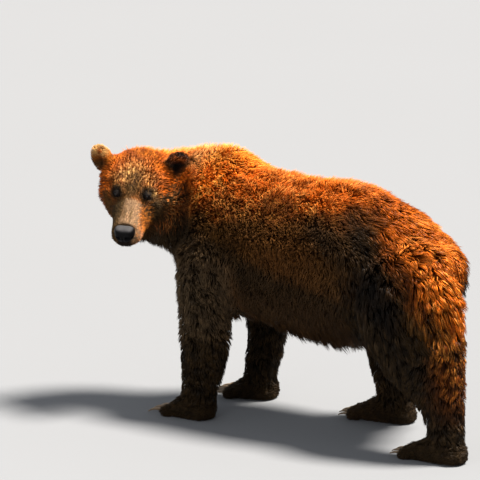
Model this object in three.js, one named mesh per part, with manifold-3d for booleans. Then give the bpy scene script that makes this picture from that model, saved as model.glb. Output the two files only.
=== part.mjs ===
// A life-size adult grizzly bear that stands on all four feet and looks back over its left shoulder.
// Millimetres, +Z up. The floor is z = 0, the head end points to -Y and the bear's left side to +X.
// Every outline is that of the coat, out to the tips of the hair.
import * as THREE from 'three';
import { LoftGeometry } from 'three/addons/geometries/LoftGeometry.js';
import { mergeVertices } from 'three/addons/utils/BufferGeometryUtils.js';
import Module from 'manifold-3d';

const wasm = await Module();
wasm.setup();

// ---- Driving dimensions ----

const GAP = 0.3; // left between two pieces that touch
const HUMP_HEIGHT = 1230;
const LEG_SPREAD = 224; // from the middle of the body to the middle of a paw
const LEG_CLEAR = 30; // from the middle of the body to where a leg is parted from it
const CLAW_RISE = 12; // degrees a claw starts upwards from its toe
const BAULK = 3000; // side of the blocks that part the body, larger than the bear
const LEFT = 1;
const RIGHT = -1;

// The head's own frame: origin midway between the ears, muzzle to -Y, its left to +X.
const HEAD = {
  at: new THREE.Vector3(198, -795, 1130),
  turn: 110.5, // degrees to the left of straight ahead
  nod: 25, // muzzle down
  tilt: 2.5, // left ear down
};
const EYE = { out: 72, ahead: 168, down: 57, radius: 14 };
const NOSE = { ahead: 336, down: 149, half: 46, tall: 40, deep: 31 };
const MOUTH = { corner: 206, down: 192 };
const EAR = { out: 172, behind: 6, up: -4, half: 58, tall: 66, deep: 36, fan: 26, lean: 20 };

// ---- Colours ----

const finish = (color, roughness) => new THREE.MeshStandardMaterial({ color, roughness, metalness: 0 });
const COAT = finish(0x8f4a1c, 0.8);
const DARK_COAT = finish(0x3f2413, 0.8);
const MUZZLE_COAT = finish(0xa9794b, 0.8);
const NOSE_SKIN = finish(0x17120f, 0.35);
const EYE_FINISH = finish(0x120a06, 0.1);
const CLAW_HORN = finish(0x4a3a2a, 0.4);

// ---- Shape helpers ----

const X = new THREE.Vector3(1, 0, 0);
const Z = new THREE.Vector3(0, 0, 1);
const AHEAD = new THREE.Vector3(0, -1, 0);
const radians = THREE.MathUtils.degToRad;

/** A manifold solid from a closed three.js geometry. */
function solid(geometry) {
  const bare = new THREE.BufferGeometry().copy(geometry);
  bare.deleteAttribute('normal');
  bare.deleteAttribute('uv');
  const merged = mergeVertices(bare, 1e-3);
  return new wasm.Manifold(
    new wasm.Mesh({
      numProp: 3,
      vertProperties: merged.attributes.position.array,
      triVerts: new Uint32Array(merged.index.array),
    }),
  );
}

/** A three.js geometry from a manifold solid. */
function geometryOf(shape) {
  const { vertProperties, triVerts } = shape.getMesh();
  return new THREE.BufferGeometry()
    .setAttribute('position', new THREE.BufferAttribute(vertProperties, 3))
    .setIndex(new THREE.BufferAttribute(triVerts, 1));
}

/** The solids joined into one. */
const join = (shapes) => shapes.reduce((whole, shape) => whole.add(shape));

/** A smooth function through rows of [place, value, value, ...], which gives the values at any place. */
function through(rows) {
  const places = rows.map((row) => row[0]);
  const values = rows.flatMap((row) => row.slice(1));
  const curve = new THREE.CubicInterpolant(places, values, rows[0].length - 1);
  return (place) => [...curve.evaluate(place)];
}

/** A closed oval: half wide across, and tall above and below its centre. square 2 is an ellipse. */
function oval(centre, across, up, { half, above, below, square = 2 }, count) {
  const shaped = (v) => Math.sign(v) * Math.abs(v) ** (2 / square);
  return Array.from({ length: count }, (_, i) => {
    const angle = (i / count) * 2 * Math.PI;
    const rise = Math.sin(angle) > 0 ? above : below;
    return centre
      .clone()
      .addScaledVector(across, half * shaped(Math.cos(angle)))
      .addScaledVector(up, rise * shaped(Math.sin(angle)));
  });
}

/** Places from first to last that crowd towards both ends, where a form rounds off. */
function roundedSteps(first, last, count) {
  return Array.from({ length: count + 1 }, (_, i) => {
    const share = (1 - Math.cos((i / count) * Math.PI)) / 2;
    return first + (last - first) * share;
  });
}

/** A form along -Y from upright ovals. Rows are [ahead, top, bottom, half width]. It is widest at fullness. */
function barrel(rows, { steps, around, fullness, square }) {
  const at = through(rows);
  const sections = roundedSteps(rows[0][0], rows.at(-1)[0], steps).map((ahead) => {
    const [top, bottom, half] = at(ahead);
    const middle = bottom + (top - bottom) * fullness;
    const size = { half, above: top - middle, below: middle - bottom, square };
    return oval(new THREE.Vector3(0, -ahead, middle), X, Z, size, around);
  });
  return solid(new LoftGeometry(sections, { capStart: true, capEnd: true }));
}

/** A limb along a smooth line. Stations are [x, y, z, half width, reach in front, reach behind]. */
function limb(stations, { steps, around, front = AHEAD, square = 2 }) {
  const line = new THREE.CatmullRomCurve3(stations.map(([x, y, z]) => new THREE.Vector3(x, y, z)));
  const sizes = through(stations.map((row, i) => [i / (stations.length - 1), ...row.slice(3)]));
  const sections = Array.from({ length: steps + 1 }, (_, i) => {
    const share = i / steps;
    const along = line.getTangent(share);
    const across = new THREE.Vector3().crossVectors(front, along).normalize();
    const up = new THREE.Vector3().crossVectors(along, across);
    const [half, above, below] = sizes(share);
    return oval(line.getPoint(share), across, up, { half, above, below, square }, around);
  });
  return solid(new LoftGeometry(sections, { capStart: true, capEnd: true }));
}

/** An egg-shaped mass of three half axes at a place, turned about X, Y and Z. */
function mass(at, [rx, ry, rz], { turn = [0, 0, 0], around = 12, rings = 8 } = {}) {
  const egg = new THREE.SphereGeometry(1, around, rings)
    .applyMatrix4(new THREE.Matrix4().makeRotationX(Math.PI / 2))
    .scale(rx, ry, rz)
    .applyMatrix4(new THREE.Matrix4().makeRotationFromEuler(new THREE.Euler(...turn.map(radians))))
    .translate(...at);
  return solid(egg);
}

/** A block that fills space behind a plane, given as a point on it and the direction it faces. */
function behind(point, normal) {
  const way = new THREE.Vector3(...normal).normalize();
  const block = new THREE.BoxGeometry(BAULK, BAULK, BAULK)
    .translate(0, 0, -BAULK / 2)
    .applyQuaternion(new THREE.Quaternion().setFromUnitVectors(Z, way))
    .translate(...point);
  return solid(block);
}

/** The space behind all the given planes, each [point, normal], grown outwards by a margin. */
function space(planes, margin) {
  const blocks = planes.map(([point, normal]) => {
    const shift = new THREE.Vector3(...normal).setLength(margin);
    return behind(shift.add(new THREE.Vector3(...point)).toArray(), normal);
  });
  return blocks.reduce((all, block) => all.intersect(block));
}

/** Parts a solid along the bounds of such a space, with a gap: [what lies inside it, the rest]. */
function carve(shape, planes) {
  return [shape.intersect(space(planes, -GAP / 2)), shape.subtract(space(planes, GAP / 2))];
}

const headMatrix = new THREE.Matrix4()
  .makeRotationFromEuler(
    new THREE.Euler(radians(HEAD.nod), radians(HEAD.tilt), radians(HEAD.turn), 'ZXY'),
  )
  .setPosition(HEAD.at);

/** A solid made in the head's own frame, in place on the body. */
const onHead = (shape) => solid(geometryOf(shape).applyMatrix4(headMatrix));

/** A point or direction of the head's own frame, in place on the body. */
const headPoint = (point) => new THREE.Vector3(...point).applyMatrix4(headMatrix).toArray();
const headWay = (way) => new THREE.Vector3(...way).transformDirection(headMatrix).toArray();

// ---- Trunk and neck ----

const trunkForm = barrel(
  [
    // ahead, top, bottom, half width
    [-792, 812, 752, 34],
    [-772, 856, 700, 96],
    [-716, 910, 632, 172],
    [-632, 970, 566, 226],
    [-509, 1040, 500, 270],
    [-373, 1096, 432, 296],
    [-250, 1138, 398, 312],
    [-46, 1130, 412, 320],
    [176, 1134, 450, 310],
    [300, 1150, 458, 296],
    [380, 1196, 448, 284],
    [450, HUMP_HEIGHT, 450, 270],
    [550, 1160, 500, 240],
    [630, 1000, 590, 180],
    [672, 850, 700, 70],
  ],
  { steps: 20, around: 18, fullness: 0.44, square: 2.15 },
);

const neckForm = limb(
  [
    // x, y, z, half width, above, below
    [0, -400, 880, 220, 290, 310],
    [0, -560, 905, 222, 312, 265],
    [12, -690, 945, 202, 262, 250],
    [76, -784, 1000, 176, 190, 262],
    [150, -812, 1050, 152, 126, 200],
  ],
  { steps: 7, around: 16, front: Z },
);

const rumpForm = join([
  mass([132, 690, 770], [128, 160, 190], { around: 8, rings: 6 }),
  mass([-110, 600, 770], [110, 130, 170], { around: 8, rings: 6 }),
]);

// ---- Legs ----

/** A foreleg's coat down to the wrist. shift moves the paw ahead, and girth is 1 for a full coat. */
function forelegForm(side, shift, girth) {
  return limb(
    [
      [side * 128, -396, 960, 74, 86, 92],
      [side * 194, -412, 850, 114, 150, 164],
      [side * 224, -414, 690, 120, 150, 164],
      [side * 234, -414 - shift / 4, 540, 106, 134, 148],
      [side * 235, -414 - shift / 2, 400, 92 * girth, 118 * girth, 144 * girth],
      [side * 231, -420 - shift, 280, 82 * girth, 100 * girth, 130 * girth],
      [side * 227, -434 - shift, 180, 76, 84, 104 * girth],
      [side * LEG_SPREAD, -444 - shift, 70, 74, 78, 80],
    ],
    { steps: 9, around: 10 },
  );
}

const LEFT_HIND = [
  // x, y, z, half width, in front, behind
  [100, 520, 912, 84, 132, 132],
  [168, 578, 800, 144, 240, 238],
  [206, 640, 655, 148, 252, 306],
  [224, 706, 520, 128, 220, 292],
  [230, 788, 400, 106, 180, 214],
  [227, 848, 290, 90, 130, 132],
  [LEG_SPREAD, 874, 190, 78, 100, 92],
  [LEG_SPREAD, 882, 70, 74, 90, 84],
];

const RIGHT_HIND = [
  [-100, 470, 912, 84, 128, 128],
  [-168, 462, 800, 144, 232, 226],
  [-206, 420, 655, 148, 244, 246],
  [-226, 360, 520, 128, 210, 230],
  [-230, 306, 400, 106, 162, 170],
  [-227, 292, 290, 90, 122, 122],
  [-LEG_SPREAD, 300, 190, 78, 88, 96],
  [-LEG_SPREAD, 312, 70, 74, 84, 84],
];

const hindLegForm = (stations) => limb(stations, { steps: 9, around: 10 });

/**
 * One paw and its five claws, with the heel behind and the toes in front of a place on the floor.
 * half is half the paw's width, arch its height over the instep, toeIn the degrees its toes point inwards.
 */
function paw({ side, at: [x, y], length, half, arch, toeIn, claw }) {
  const inward = radians(-side * toeIn);
  const place = (shape) => solid(geometryOf(shape).rotateZ(inward).translate(side * x, y, 0));
  const sole = barrel(
    [
      [-length * 0.52, 70, 18, half * 0.4],
      [-length * 0.45, 96, 0, half * 0.72],
      [-length * 0.2, arch, -8, half * 0.88],
      [length * 0.1, arch * 0.92, -8, half * 0.98],
      [length * 0.3, 74, -4, half * 0.96],
      [length * 0.42, 50, 6, half * 0.8],
    ],
    { steps: 5, around: 8, fullness: 0.42, square: 2.6 },
  );
  const toes = [-2, -1, 0, 1, 2].map((i) => ({
    out: i * half * 0.43,
    reach: length * (0.415 - 0.02 * i * i),
    thick: half * 0.25,
    turn: i * 5,
  }));
  const pads = toes.map(({ out, reach, thick, turn }) => {
    const axes = [thick, thick * 1.75, thick * 1.1];
    return mass([out, -reach, thick * 0.92], axes, { turn: [0, 0, turn], around: 6, rings: 4 });
  });
  const root = ({ out, reach, thick, turn }) => ({ ...claw, at: [out, -reach - thick, thick * 1.15], turn });
  const flesh = join([sole, ...pads]).subtract(behind([0, 0, 0], [0, 0, 1]));
  return {
    flesh: place(flesh),
    claws: toes.map((toe) => place(clawForm(root(toe)))),
    seats: toes.map((toe) => place(clawForm(root(toe), GAP))),
  };
}

/** One claw, a tapering arc of an oval section. margin grows it, to cut its seat in the toe. */
function clawForm({ at, turn, length, bend, thick }, margin = 0) {
  const radius = length / radians(bend);
  const rise = radians(CLAW_RISE);
  const steps = 4;
  const sections = Array.from({ length: steps + 1 }, (_, i) => {
    const share = i / steps;
    const angle = radians(bend) * share - rise;
    const ahead = radius * (Math.sin(angle) + Math.sin(rise)) - (i === 0 ? margin : 0);
    const drop = radius * (Math.cos(rise) - Math.cos(angle));
    const taper = thick * (1 - 0.82 * share ** 1.4);
    const size = {
      half: taper * 0.42 + margin,
      above: taper * 0.6 + margin,
      below: taper * 0.55 + margin,
    };
    const up = new THREE.Vector3(0, -Math.sin(angle), Math.cos(angle));
    return oval(new THREE.Vector3(0, -ahead, -drop), X, up, size, 5);
  });
  const arc = new LoftGeometry(sections, { capStart: true, capEnd: true });
  return solid(arc.rotateZ(radians(turn)).translate(...at));
}

const FORE_CLAW = { length: 88, bend: 52, thick: 19 };
const HIND_CLAW = { length: 58, bend: 44, thick: 16 };
const forePaw = (side, y) =>
  paw({ side, at: [LEG_SPREAD, y], length: 236, half: 92, arch: 128, toeIn: 8, claw: FORE_CLAW });
const hindPaw = (side, y) =>
  paw({ side, at: [LEG_SPREAD, y], length: 318, half: 88, arch: 122, toeIn: 4, claw: HIND_CLAW });

// Each leg's form and paw, and the planes where it is parted. top is the height of the slanting cut
// towards the trunk. Each plane is a point and the direction it faces.
const LEGS = [
  {
    name: 'left_fore', side: LEFT, form: forelegForm(LEFT, 12, 1), paw: forePaw(LEFT, -494),
    top: 440, front: [[0, -645, 0], [0, -1, 0]], back: [[0, -226, 0], [0, 1, 0]],
    middle: [[0, -420, 400], [0, 0, 1]], ankle: [[0, -430, 190], [0, 0, 1]],
  },
  {
    name: 'right_fore', side: RIGHT, form: forelegForm(RIGHT, -16, 0.84), paw: forePaw(RIGHT, -466),
    top: 440, front: [[0, -645, 0], [0, -1, 0]], back: [[0, -226, 0], [0, 1, 0]],
    middle: [[0, -400, 400], [0, 0, 1]], ankle: [[0, -400, 190], [0, 0, 1]],
  },
  {
    name: 'left_hind', side: LEFT, form: hindLegForm(LEFT_HIND), paw: hindPaw(LEFT, 816),
    top: 500, front: [[0, 356, 0], [0, -1, 0]], back: [[0, 1200, 0], [0, 1, 0]],
    middle: [[0, 720, 455], [0, -0.5, 1]], ankle: [[0, 880, 200], [0, -0.2, 1]],
  },
  {
    name: 'right_hind', side: RIGHT, form: hindLegForm(RIGHT_HIND), paw: hindPaw(RIGHT, 246),
    top: 500, front: [[0, 40, 0], [0, -1, 0.22]], back: [[0, 1200, 0], [0, 1, 0]],
    middle: [[0, 320, 430], [0, 0.3, 1]], ankle: [[0, 300, 190], [0, 0.1, 1]],
  },
];

// ---- Head ----

const skullForm = barrel(
  [
    // ahead, top, bottom, half width
    [-140, -30, -120, 60],
    [-112, 14, -180, 118],
    [-50, 42, -236, 158],
    [10, 47, -262, 178],
    [70, 36, -266, 176],
    [120, 8, -260, 158],
    [156, -24, -250, 130],
    [190, -56, -240, 100],
    [236, -82, -232, 80],
    [286, -102, -232, 72],
    [322, -116, -229, 64],
    [348, -134, -222, 52],
    [360, -160, -206, 26],
  ],
  { steps: 15, around: 18, fullness: 0.47, square: 2.1 },
);

const cheeks = [LEFT, RIGHT].map((side) =>
  mass([side * 116, 4, -134], [74, 124, 112], { turn: [14, 0, side * 14], around: 9, rings: 6 }),
);
const headCoat = join([skullForm, ...cheeks]);

/** Sets a solid made about its own middle onto one side of the head as an ear. */
function earAt(side, shape) {
  const pose = new THREE.Euler(radians(-14), side * radians(EAR.lean), side * radians(EAR.fan));
  const placed = geometryOf(shape)
    .applyMatrix4(new THREE.Matrix4().makeRotationFromEuler(pose))
    .translate(side * EAR.out, EAR.behind, EAR.up);
  return onHead(solid(placed));
}

/** The outside of an ear, grown by a margin where it cuts its seat. */
const earShell = (margin = 0) =>
  mass([0, 0, 0], [EAR.half + margin, EAR.deep + margin, EAR.tall + margin], { around: 10, rings: 6 });

/** The hollow of an ear, open to the front. */
const earBowl = () =>
  mass([0, -EAR.deep, 8], [EAR.half * 0.62, EAR.deep * 0.75, EAR.tall * 0.66], { around: 8, rings: 5 });

/** An eyeball, grown by a margin where it cuts its socket. */
function eyeForm(side, margin = 0) {
  const size = EYE.radius + margin;
  return onHead(mass([side * EYE.out, -EYE.ahead, -EYE.down], [size, size, size], { around: 9, rings: 5 }));
}

/** The leathery pad of the nose, grown by a margin where it cuts its seat. */
function noseForm(margin = 0) {
  const { ahead, down, half, tall, deep } = NOSE;
  const station = (place, above, below, wide) => [
    ahead + place * (deep + margin),
    -down + tall * above + margin,
    -down - tall * below - margin,
    half * wide + margin,
  ];
  const rows = [
    station(-1, 0.7, 0.8, 0.72),
    station(-0.4, 1, 1, 1),
    station(0.4, 0.86, 0.9, 0.94),
    station(1, 0.3, 0.4, 0.5),
  ];
  return onHead(barrel(rows, { steps: 4, around: 12, fullness: 0.55, square: 2.4 }));
}

// ---- Tail ----

/** The short tail, which hangs against the rump. margin grows it, to cut its seat. */
const tailForm = (margin = 0) =>
  limb(
    [
      [0, 712, 890 + margin, 44 + margin, 30 + margin, 30 + margin],
      [0, 756, 842, 46 + margin, 34 + margin, 34 + margin],
      [0, 784, 784, 36 + margin, 28 + margin, 28 + margin],
      [0, 790, 730 - margin, 10 + margin, 9 + margin, 9 + margin],
    ],
    { steps: 5, around: 8 },
  );

// ---- Parting the body into its named pieces ----

const bear = new THREE.Group();

/** Adds a named piece to the bear. */
function add(name, shape, material) {
  const mesh = new THREE.Mesh(geometryOf(shape), material);
  mesh.name = name;
  bear.add(mesh);
}

/** The planes that bound a leg: a slant up and outwards, one near the body's middle, front and back. */
function legBounds({ side, top, front, back }) {
  const slant = [[side * LEG_CLEAR * 2, 0, top], [-side * 1.5, 0, 1]];
  const inside = [[side * LEG_CLEAR, 0, 0], [-side, 0, 0]];
  return [slant, inside, front, back];
}

// The head lies ahead of a plane behind its ears, in front of one behind the left ear,
// and above one between the cheek and the shoulder.
const HEAD_BOUNDS = [
  [headPoint([0, 74, 0]), headWay([0, 1, -0.2])],
  [[140, -578, 1120], [-0.35, 0.9, 0.1]],
  [[250, -570, 950], [-0.5, 0.6, -0.62]],
];
const NECK_BOUNDS = [[[0, -560, 1000], [0, 0.93, -0.37]]];
const JAW_BOUNDS = [
  [headPoint([0, 0, -MOUTH.down]), headWay([0, 0, 1])],
  [headPoint([0, -MOUTH.corner, -MOUTH.down]), headWay([0, 1, 0.3])],
];

/** Adds each leg as an upper leg, a lower leg, a paw and five claws. Returns the body without them. */
function addLegs(whole) {
  let rest = whole;
  for (const leg of LEGS) {
    const [flesh, legless] = carve(rest, legBounds(leg));
    const [foot, shaft] = carve(flesh, [leg.ankle]);
    const [lower, upper] = carve(shaft, [leg.middle]);
    add(`${leg.name}_upper_leg`, upper, COAT);
    add(`${leg.name}_lower_leg`, lower, DARK_COAT);
    add(`${leg.name}_paw`, foot.subtract(join(leg.paw.seats)), DARK_COAT);
    leg.paw.claws.forEach((claw, i) => add(`${leg.name}_claw_${i + 1}`, claw, CLAW_HORN));
    rest = legless;
  }
  return rest;
}

/** Adds the head, its lower jaw, ears, eyes and nose. Returns the body without them. */
function addHead(whole) {
  const seats = [noseForm(GAP)];
  for (const side of [LEFT, RIGHT]) {
    const word = side === LEFT ? 'left' : 'right';
    add(`${word}_ear`, earAt(side, earShell().subtract(earBowl())), COAT);
    add(`${word}_eye`, eyeForm(side), EYE_FINISH);
    seats.push(earAt(side, earShell(GAP)), eyeForm(side, GAP));
  }
  const [flesh, headless] = carve(whole.subtract(join(seats)), HEAD_BOUNDS);
  const [jaw, head] = carve(flesh, JAW_BOUNDS);
  add('head', head, COAT);
  add('lower_jaw', jaw, MUZZLE_COAT);
  add('nose', noseForm(), NOSE_SKIN);
  return headless;
}

/** Adds the tail, the neck and the trunk. */
function addTrunk(whole) {
  const [neck, trunk] = carve(whole.subtract(tailForm(GAP)), NECK_BOUNDS);
  add('neck', neck, COAT);
  add('trunk', trunk, COAT);
  add('tail', tailForm(), COAT);
}

const legForms = LEGS.map((leg) => leg.form.add(leg.paw.flesh));
const coat = join([trunkForm, rumpForm, neckForm, onHead(headCoat), ...legForms]);
addTrunk(addHead(addLegs(coat)));

// The origin is the middle of the bear's box, on the floor.
const box = new THREE.Box3().setFromObject(bear);
const middle = box.getCenter(new THREE.Vector3());
bear.position.set(-middle.x, -middle.y, -box.min.z);

export default bear;
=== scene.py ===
"""A life-size grizzly bear on all fours that looks back over its left shoulder.

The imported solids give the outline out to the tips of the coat. One skin lies inside them by the coat's
depth and carries the coat as solid tufts. The eyes, the nose and the claws are pieces of their own.
Lengths are in metres and +Z is up. The head end points to -Y and the bear's left side to +X. Places on
the head are in millimetres along the head's own axes: left, ahead and up.
"""

import itertools
import logging
import math
from dataclasses import dataclass, field, fields
from enum import Enum
from functools import cached_property

import bmesh
import bpy
import numpy as np
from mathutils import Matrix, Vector
from mathutils.bvhtree import BVHTree
from mathutils.kdtree import KDTree

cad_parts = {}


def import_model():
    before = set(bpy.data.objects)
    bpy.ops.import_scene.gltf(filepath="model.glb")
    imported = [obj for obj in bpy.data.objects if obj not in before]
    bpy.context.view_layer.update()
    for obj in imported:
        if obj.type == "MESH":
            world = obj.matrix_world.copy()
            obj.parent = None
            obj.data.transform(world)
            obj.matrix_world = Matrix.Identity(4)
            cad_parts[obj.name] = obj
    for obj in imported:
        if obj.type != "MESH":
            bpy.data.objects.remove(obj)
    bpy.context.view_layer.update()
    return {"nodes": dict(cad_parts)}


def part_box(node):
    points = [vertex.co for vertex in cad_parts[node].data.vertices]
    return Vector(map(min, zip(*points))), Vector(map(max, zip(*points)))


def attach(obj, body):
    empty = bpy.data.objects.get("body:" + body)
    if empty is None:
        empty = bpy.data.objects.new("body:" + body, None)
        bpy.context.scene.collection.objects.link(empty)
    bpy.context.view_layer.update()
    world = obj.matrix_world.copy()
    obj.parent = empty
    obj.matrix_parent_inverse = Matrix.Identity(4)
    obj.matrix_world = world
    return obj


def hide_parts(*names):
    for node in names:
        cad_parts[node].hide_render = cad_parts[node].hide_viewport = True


log = logging.getLogger("bear")

Array = np.ndarray
Place = tuple[float, float, float]
Colour = tuple[float, float, float]

MM = 0.001
BODY = "root"
SIDES = {"left": 1.0, "right": -1.0}
LEGS = [f"{side}_{end}" for side in SIDES for end in ("fore", "hind")]
CLAWS = [f"{leg}_claw_{number}" for leg in LEGS for number in range(1, 6)]
BAKE_MAP = "OFBake"
SOLE_HEIGHT = 9 * MM
SHORT_HAIR = 14.0


# ---- Numbers on arrays ----


def tone(red: float, green: float, blue: float) -> Colour:
    """A linear colour from its three display values, each from 0 to 255."""
    shares = (value / 255 for value in (red, green, blue))
    return tuple(s / 12.92 if s <= 0.04045 else ((s + 0.055) / 1.055) ** 2.4 for s in shares)


def ease(low: float, high: float, value: Array) -> Array:
    """A smooth step from 0 at low to 1 at high."""
    share = np.clip((value - low) / (high - low), 0.0, 1.0)
    return share * share * (3 - 2 * share)


def bell(value: Array, middle: float, spread: float) -> Array:
    """A smooth bump of height 1 round a middle."""
    return np.exp(-(((value - middle) / spread) ** 2))


def unit(vectors: Array) -> Array:
    """The vectors of each row at length 1."""
    return vectors / np.maximum(np.linalg.norm(vectors, axis=-1, keepdims=True), 1e-9)


def across(vectors: Array, normals: Array) -> Array:
    """The part of each vector that lies along its surface, at length 1."""
    return unit(vectors - (vectors * normals).sum(-1, keepdims=True) * normals)


def mingle(first: Array, second: Array, share: Array) -> Array:
    """Rows of first and second mixed by a share for each row."""
    return first + (second - first) * share[:, None]


def mirrored(place: Place, side: Array | float) -> Array:
    """A place on the left of the head where side is 1, and its mirror image where side is -1."""
    return np.array(place) * np.stack([side, np.ones_like(side), np.ones_like(side)], axis=-1)


@dataclass(frozen=True)
class Streak:
    """A line on the body, with how far it spreads at its start and at its end."""

    start: Place
    end: Place
    thin: float
    thick: float

    def at(self, points: Array) -> Array:
        """How near some places are to the line.

        Args:
            points: The places.

        Returns:
            1 on the line and 0 far from it.
        """
        along = np.subtract(self.end, self.start)
        share = np.clip((points - self.start) @ along / (along @ along), 0, 1)
        distance = np.linalg.norm(points - self.start - share[:, None] * along, axis=1)
        return bell(distance, 0, self.thin + (self.thick - self.thin) * share)


@dataclass(frozen=True)
class Spot:
    """A soft round spot, in the units of the places that it is asked about."""

    middle: Place
    spread: float

    def at(self, points: Array) -> Array:
        """1 at the spot's middle, 0 far from it."""
        return bell(np.linalg.norm(points - np.array(self.middle), axis=1), 0, self.spread)


@dataclass(frozen=True)
class Noise:
    """Smooth random values from -1 to 1 over space, the same on every run. scale is the size of a cell."""

    seed: int
    scale: float
    channels: int = 1
    cells: int = 32

    @cached_property
    def table(self) -> Array:
        """The random values at the corners of the cells."""
        shape = (self.cells,) * 3 + (self.channels,)
        return np.random.default_rng(self.seed).uniform(-1, 1, shape)

    def at(self, points: Array) -> Array:
        """The values at some points.

        Args:
            points: Places, in metres.

        Returns:
            One row for each point, or a plain array where there is one channel.
        """
        place = points / self.scale
        cell = np.floor(place).astype(int)
        share = place - cell
        share = share * share * (3 - 2 * share)
        total = np.zeros((len(points), self.channels))
        for corner in itertools.product((0, 1), repeat=3):
            weight = np.prod(np.where(corner, share, 1 - share), axis=1)
            x, y, z = ((cell + corner) % self.cells).T
            total += weight[:, None] * self.table[x, y, z]
        return total[:, 0] if self.channels == 1 else total


# ---- Meshes and arrays ----


def new_mesh(name: str, places: Array, faces: Array) -> bpy.types.Mesh:
    """A mesh from arrays, shaded smooth.

    Args:
        name: The mesh's name.
        places: One row for each point.
        faces: One row of point numbers for each face, all with the same number of corners.

    Returns:
        The mesh.
    """
    mesh = bpy.data.meshes.new(name)
    corners = faces.shape[1]
    mesh.vertices.add(len(places))
    mesh.vertices.foreach_set("co", places.astype(np.float32).ravel())
    mesh.loops.add(faces.size)
    mesh.loops.foreach_set("vertex_index", faces.astype(np.int32).ravel())
    mesh.polygons.add(len(faces))
    mesh.polygons.foreach_set("loop_start", np.arange(0, faces.size, corners, dtype=np.int32))
    shade_smooth(mesh)
    mesh.update(calc_edges=True)
    return mesh


def shade_smooth(mesh: bpy.types.Mesh) -> None:
    """Shades every face of a mesh smooth."""
    mesh.polygons.foreach_set("use_smooth", np.full(len(mesh.polygons), True))


def new_object(name: str, mesh: bpy.types.Mesh) -> bpy.types.Object:
    """An object in the scene.

    Args:
        name: The object's name.
        mesh: The mesh that it shows.

    Returns:
        The object.
    """
    thing = bpy.data.objects.new(name, mesh)
    bpy.context.scene.collection.objects.link(thing)
    return thing


def read(items: bpy.types.bpy_prop_collection, name: str, kind: type, size: int = 1) -> Array:
    """One property of every item in a collection.

    Args:
        items: The collection.
        name: The property's name.
        kind: The type of its numbers.
        size: How many numbers each item has.

    Returns:
        An array with a row for each item.
    """
    values = np.empty(len(items) * size, kind)
    items.foreach_get(name, values)
    return values.reshape(-1, size) if size > 1 else values


def places_of(mesh: bpy.types.Mesh) -> Array:
    """The places of a mesh's points."""
    return read(mesh.vertices, "co", np.float32, 3).astype(float)


def normals_of(mesh: bpy.types.Mesh) -> Array:
    """The outward directions at a mesh's points."""
    return read(mesh.vertices, "normal", np.float32, 3).astype(float)


def move_points(mesh: bpy.types.Mesh, places: Array) -> None:
    """Puts a mesh's points at new places."""
    mesh.vertices.foreach_set("co", places.astype(np.float32).ravel())
    mesh.update()


def store(mesh: bpy.types.Mesh, name: str, values: Array) -> None:
    """Keeps values for every point of a mesh, for its material to read.

    Args:
        mesh: The mesh.
        name: The name to keep them under.
        values: A number or a colour for each point.
    """
    if values.ndim == 1:
        mesh.attributes.new(name, "FLOAT", "POINT").data.foreach_set("value", values.astype(np.float32))
        return
    opaque = np.concatenate([values, np.ones((len(values), 1))], axis=1).astype(np.float32)
    mesh.attributes.new(name, "FLOAT_COLOR", "POINT").data.foreach_set("color", opaque.ravel())


def store_map(mesh: bpy.types.Mesh, corners: Array) -> None:
    """Keeps the flat map of a mesh that its colours are baked on: a place for every corner of every face."""
    mesh.uv_layers.new(name=BAKE_MAP).data.foreach_set("uv", corners.astype(np.float32).ravel())


class Neighbours:
    """Which points of a mesh share an edge, to average values over them."""

    def __init__(self, mesh: bpy.types.Mesh) -> None:
        """Reads the edges of a mesh, both ways round.

        Args:
            mesh: The mesh.
        """
        edges = read(mesh.edges, "vertices", np.int32, 2)
        self.one = np.concatenate([edges[:, 0], edges[:, 1]])
        self.other = np.concatenate([edges[:, 1], edges[:, 0]])
        self.size = len(mesh.vertices)
        self.count = np.maximum(np.bincount(self.one, minlength=self.size), 1)

    def mean(self, values: Array) -> Array:
        """The mean of each point's neighbours.

        Args:
            values: A number or a row of numbers for each point.

        Returns:
            The means, laid out as the values are.
        """
        columns = values[:, None] if values.ndim == 1 else values
        sums = [np.bincount(self.one, column[self.other], self.size) for column in columns.T]
        means = np.stack(sums, axis=1) / self.count[:, None]
        return means[:, 0] if values.ndim == 1 else means

    def blurred(self, values: Array, rounds: int, share: float = 0.6) -> Array:
        """The values evened out over their neighbours.

        Args:
            values: A number or a row of numbers for each point.
            rounds: How many times they are evened out.
            share: How far each value moves towards its neighbours' mean in a round.

        Returns:
            The new values.
        """
        for _ in range(rounds):
            values = values + (self.mean(values) - values) * share
        return values

    def smoothed(self, places: Array, rounds: int, shrink: float = 0.5, swell: float = 0.52) -> Array:
        """The places evened out with no loss of size.

        Args:
            places: A place for each point.
            rounds: How many times they are evened out.
            shrink: How far each place moves towards its neighbours' mean in a round.
            swell: How far it then moves back.

        Returns:
            The new places.
        """
        for _ in range(rounds):
            places = places + (self.mean(places) - places) * shrink
            places = places - (self.mean(places) - places) * swell
        return places


# ---- Shaders ----


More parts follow.
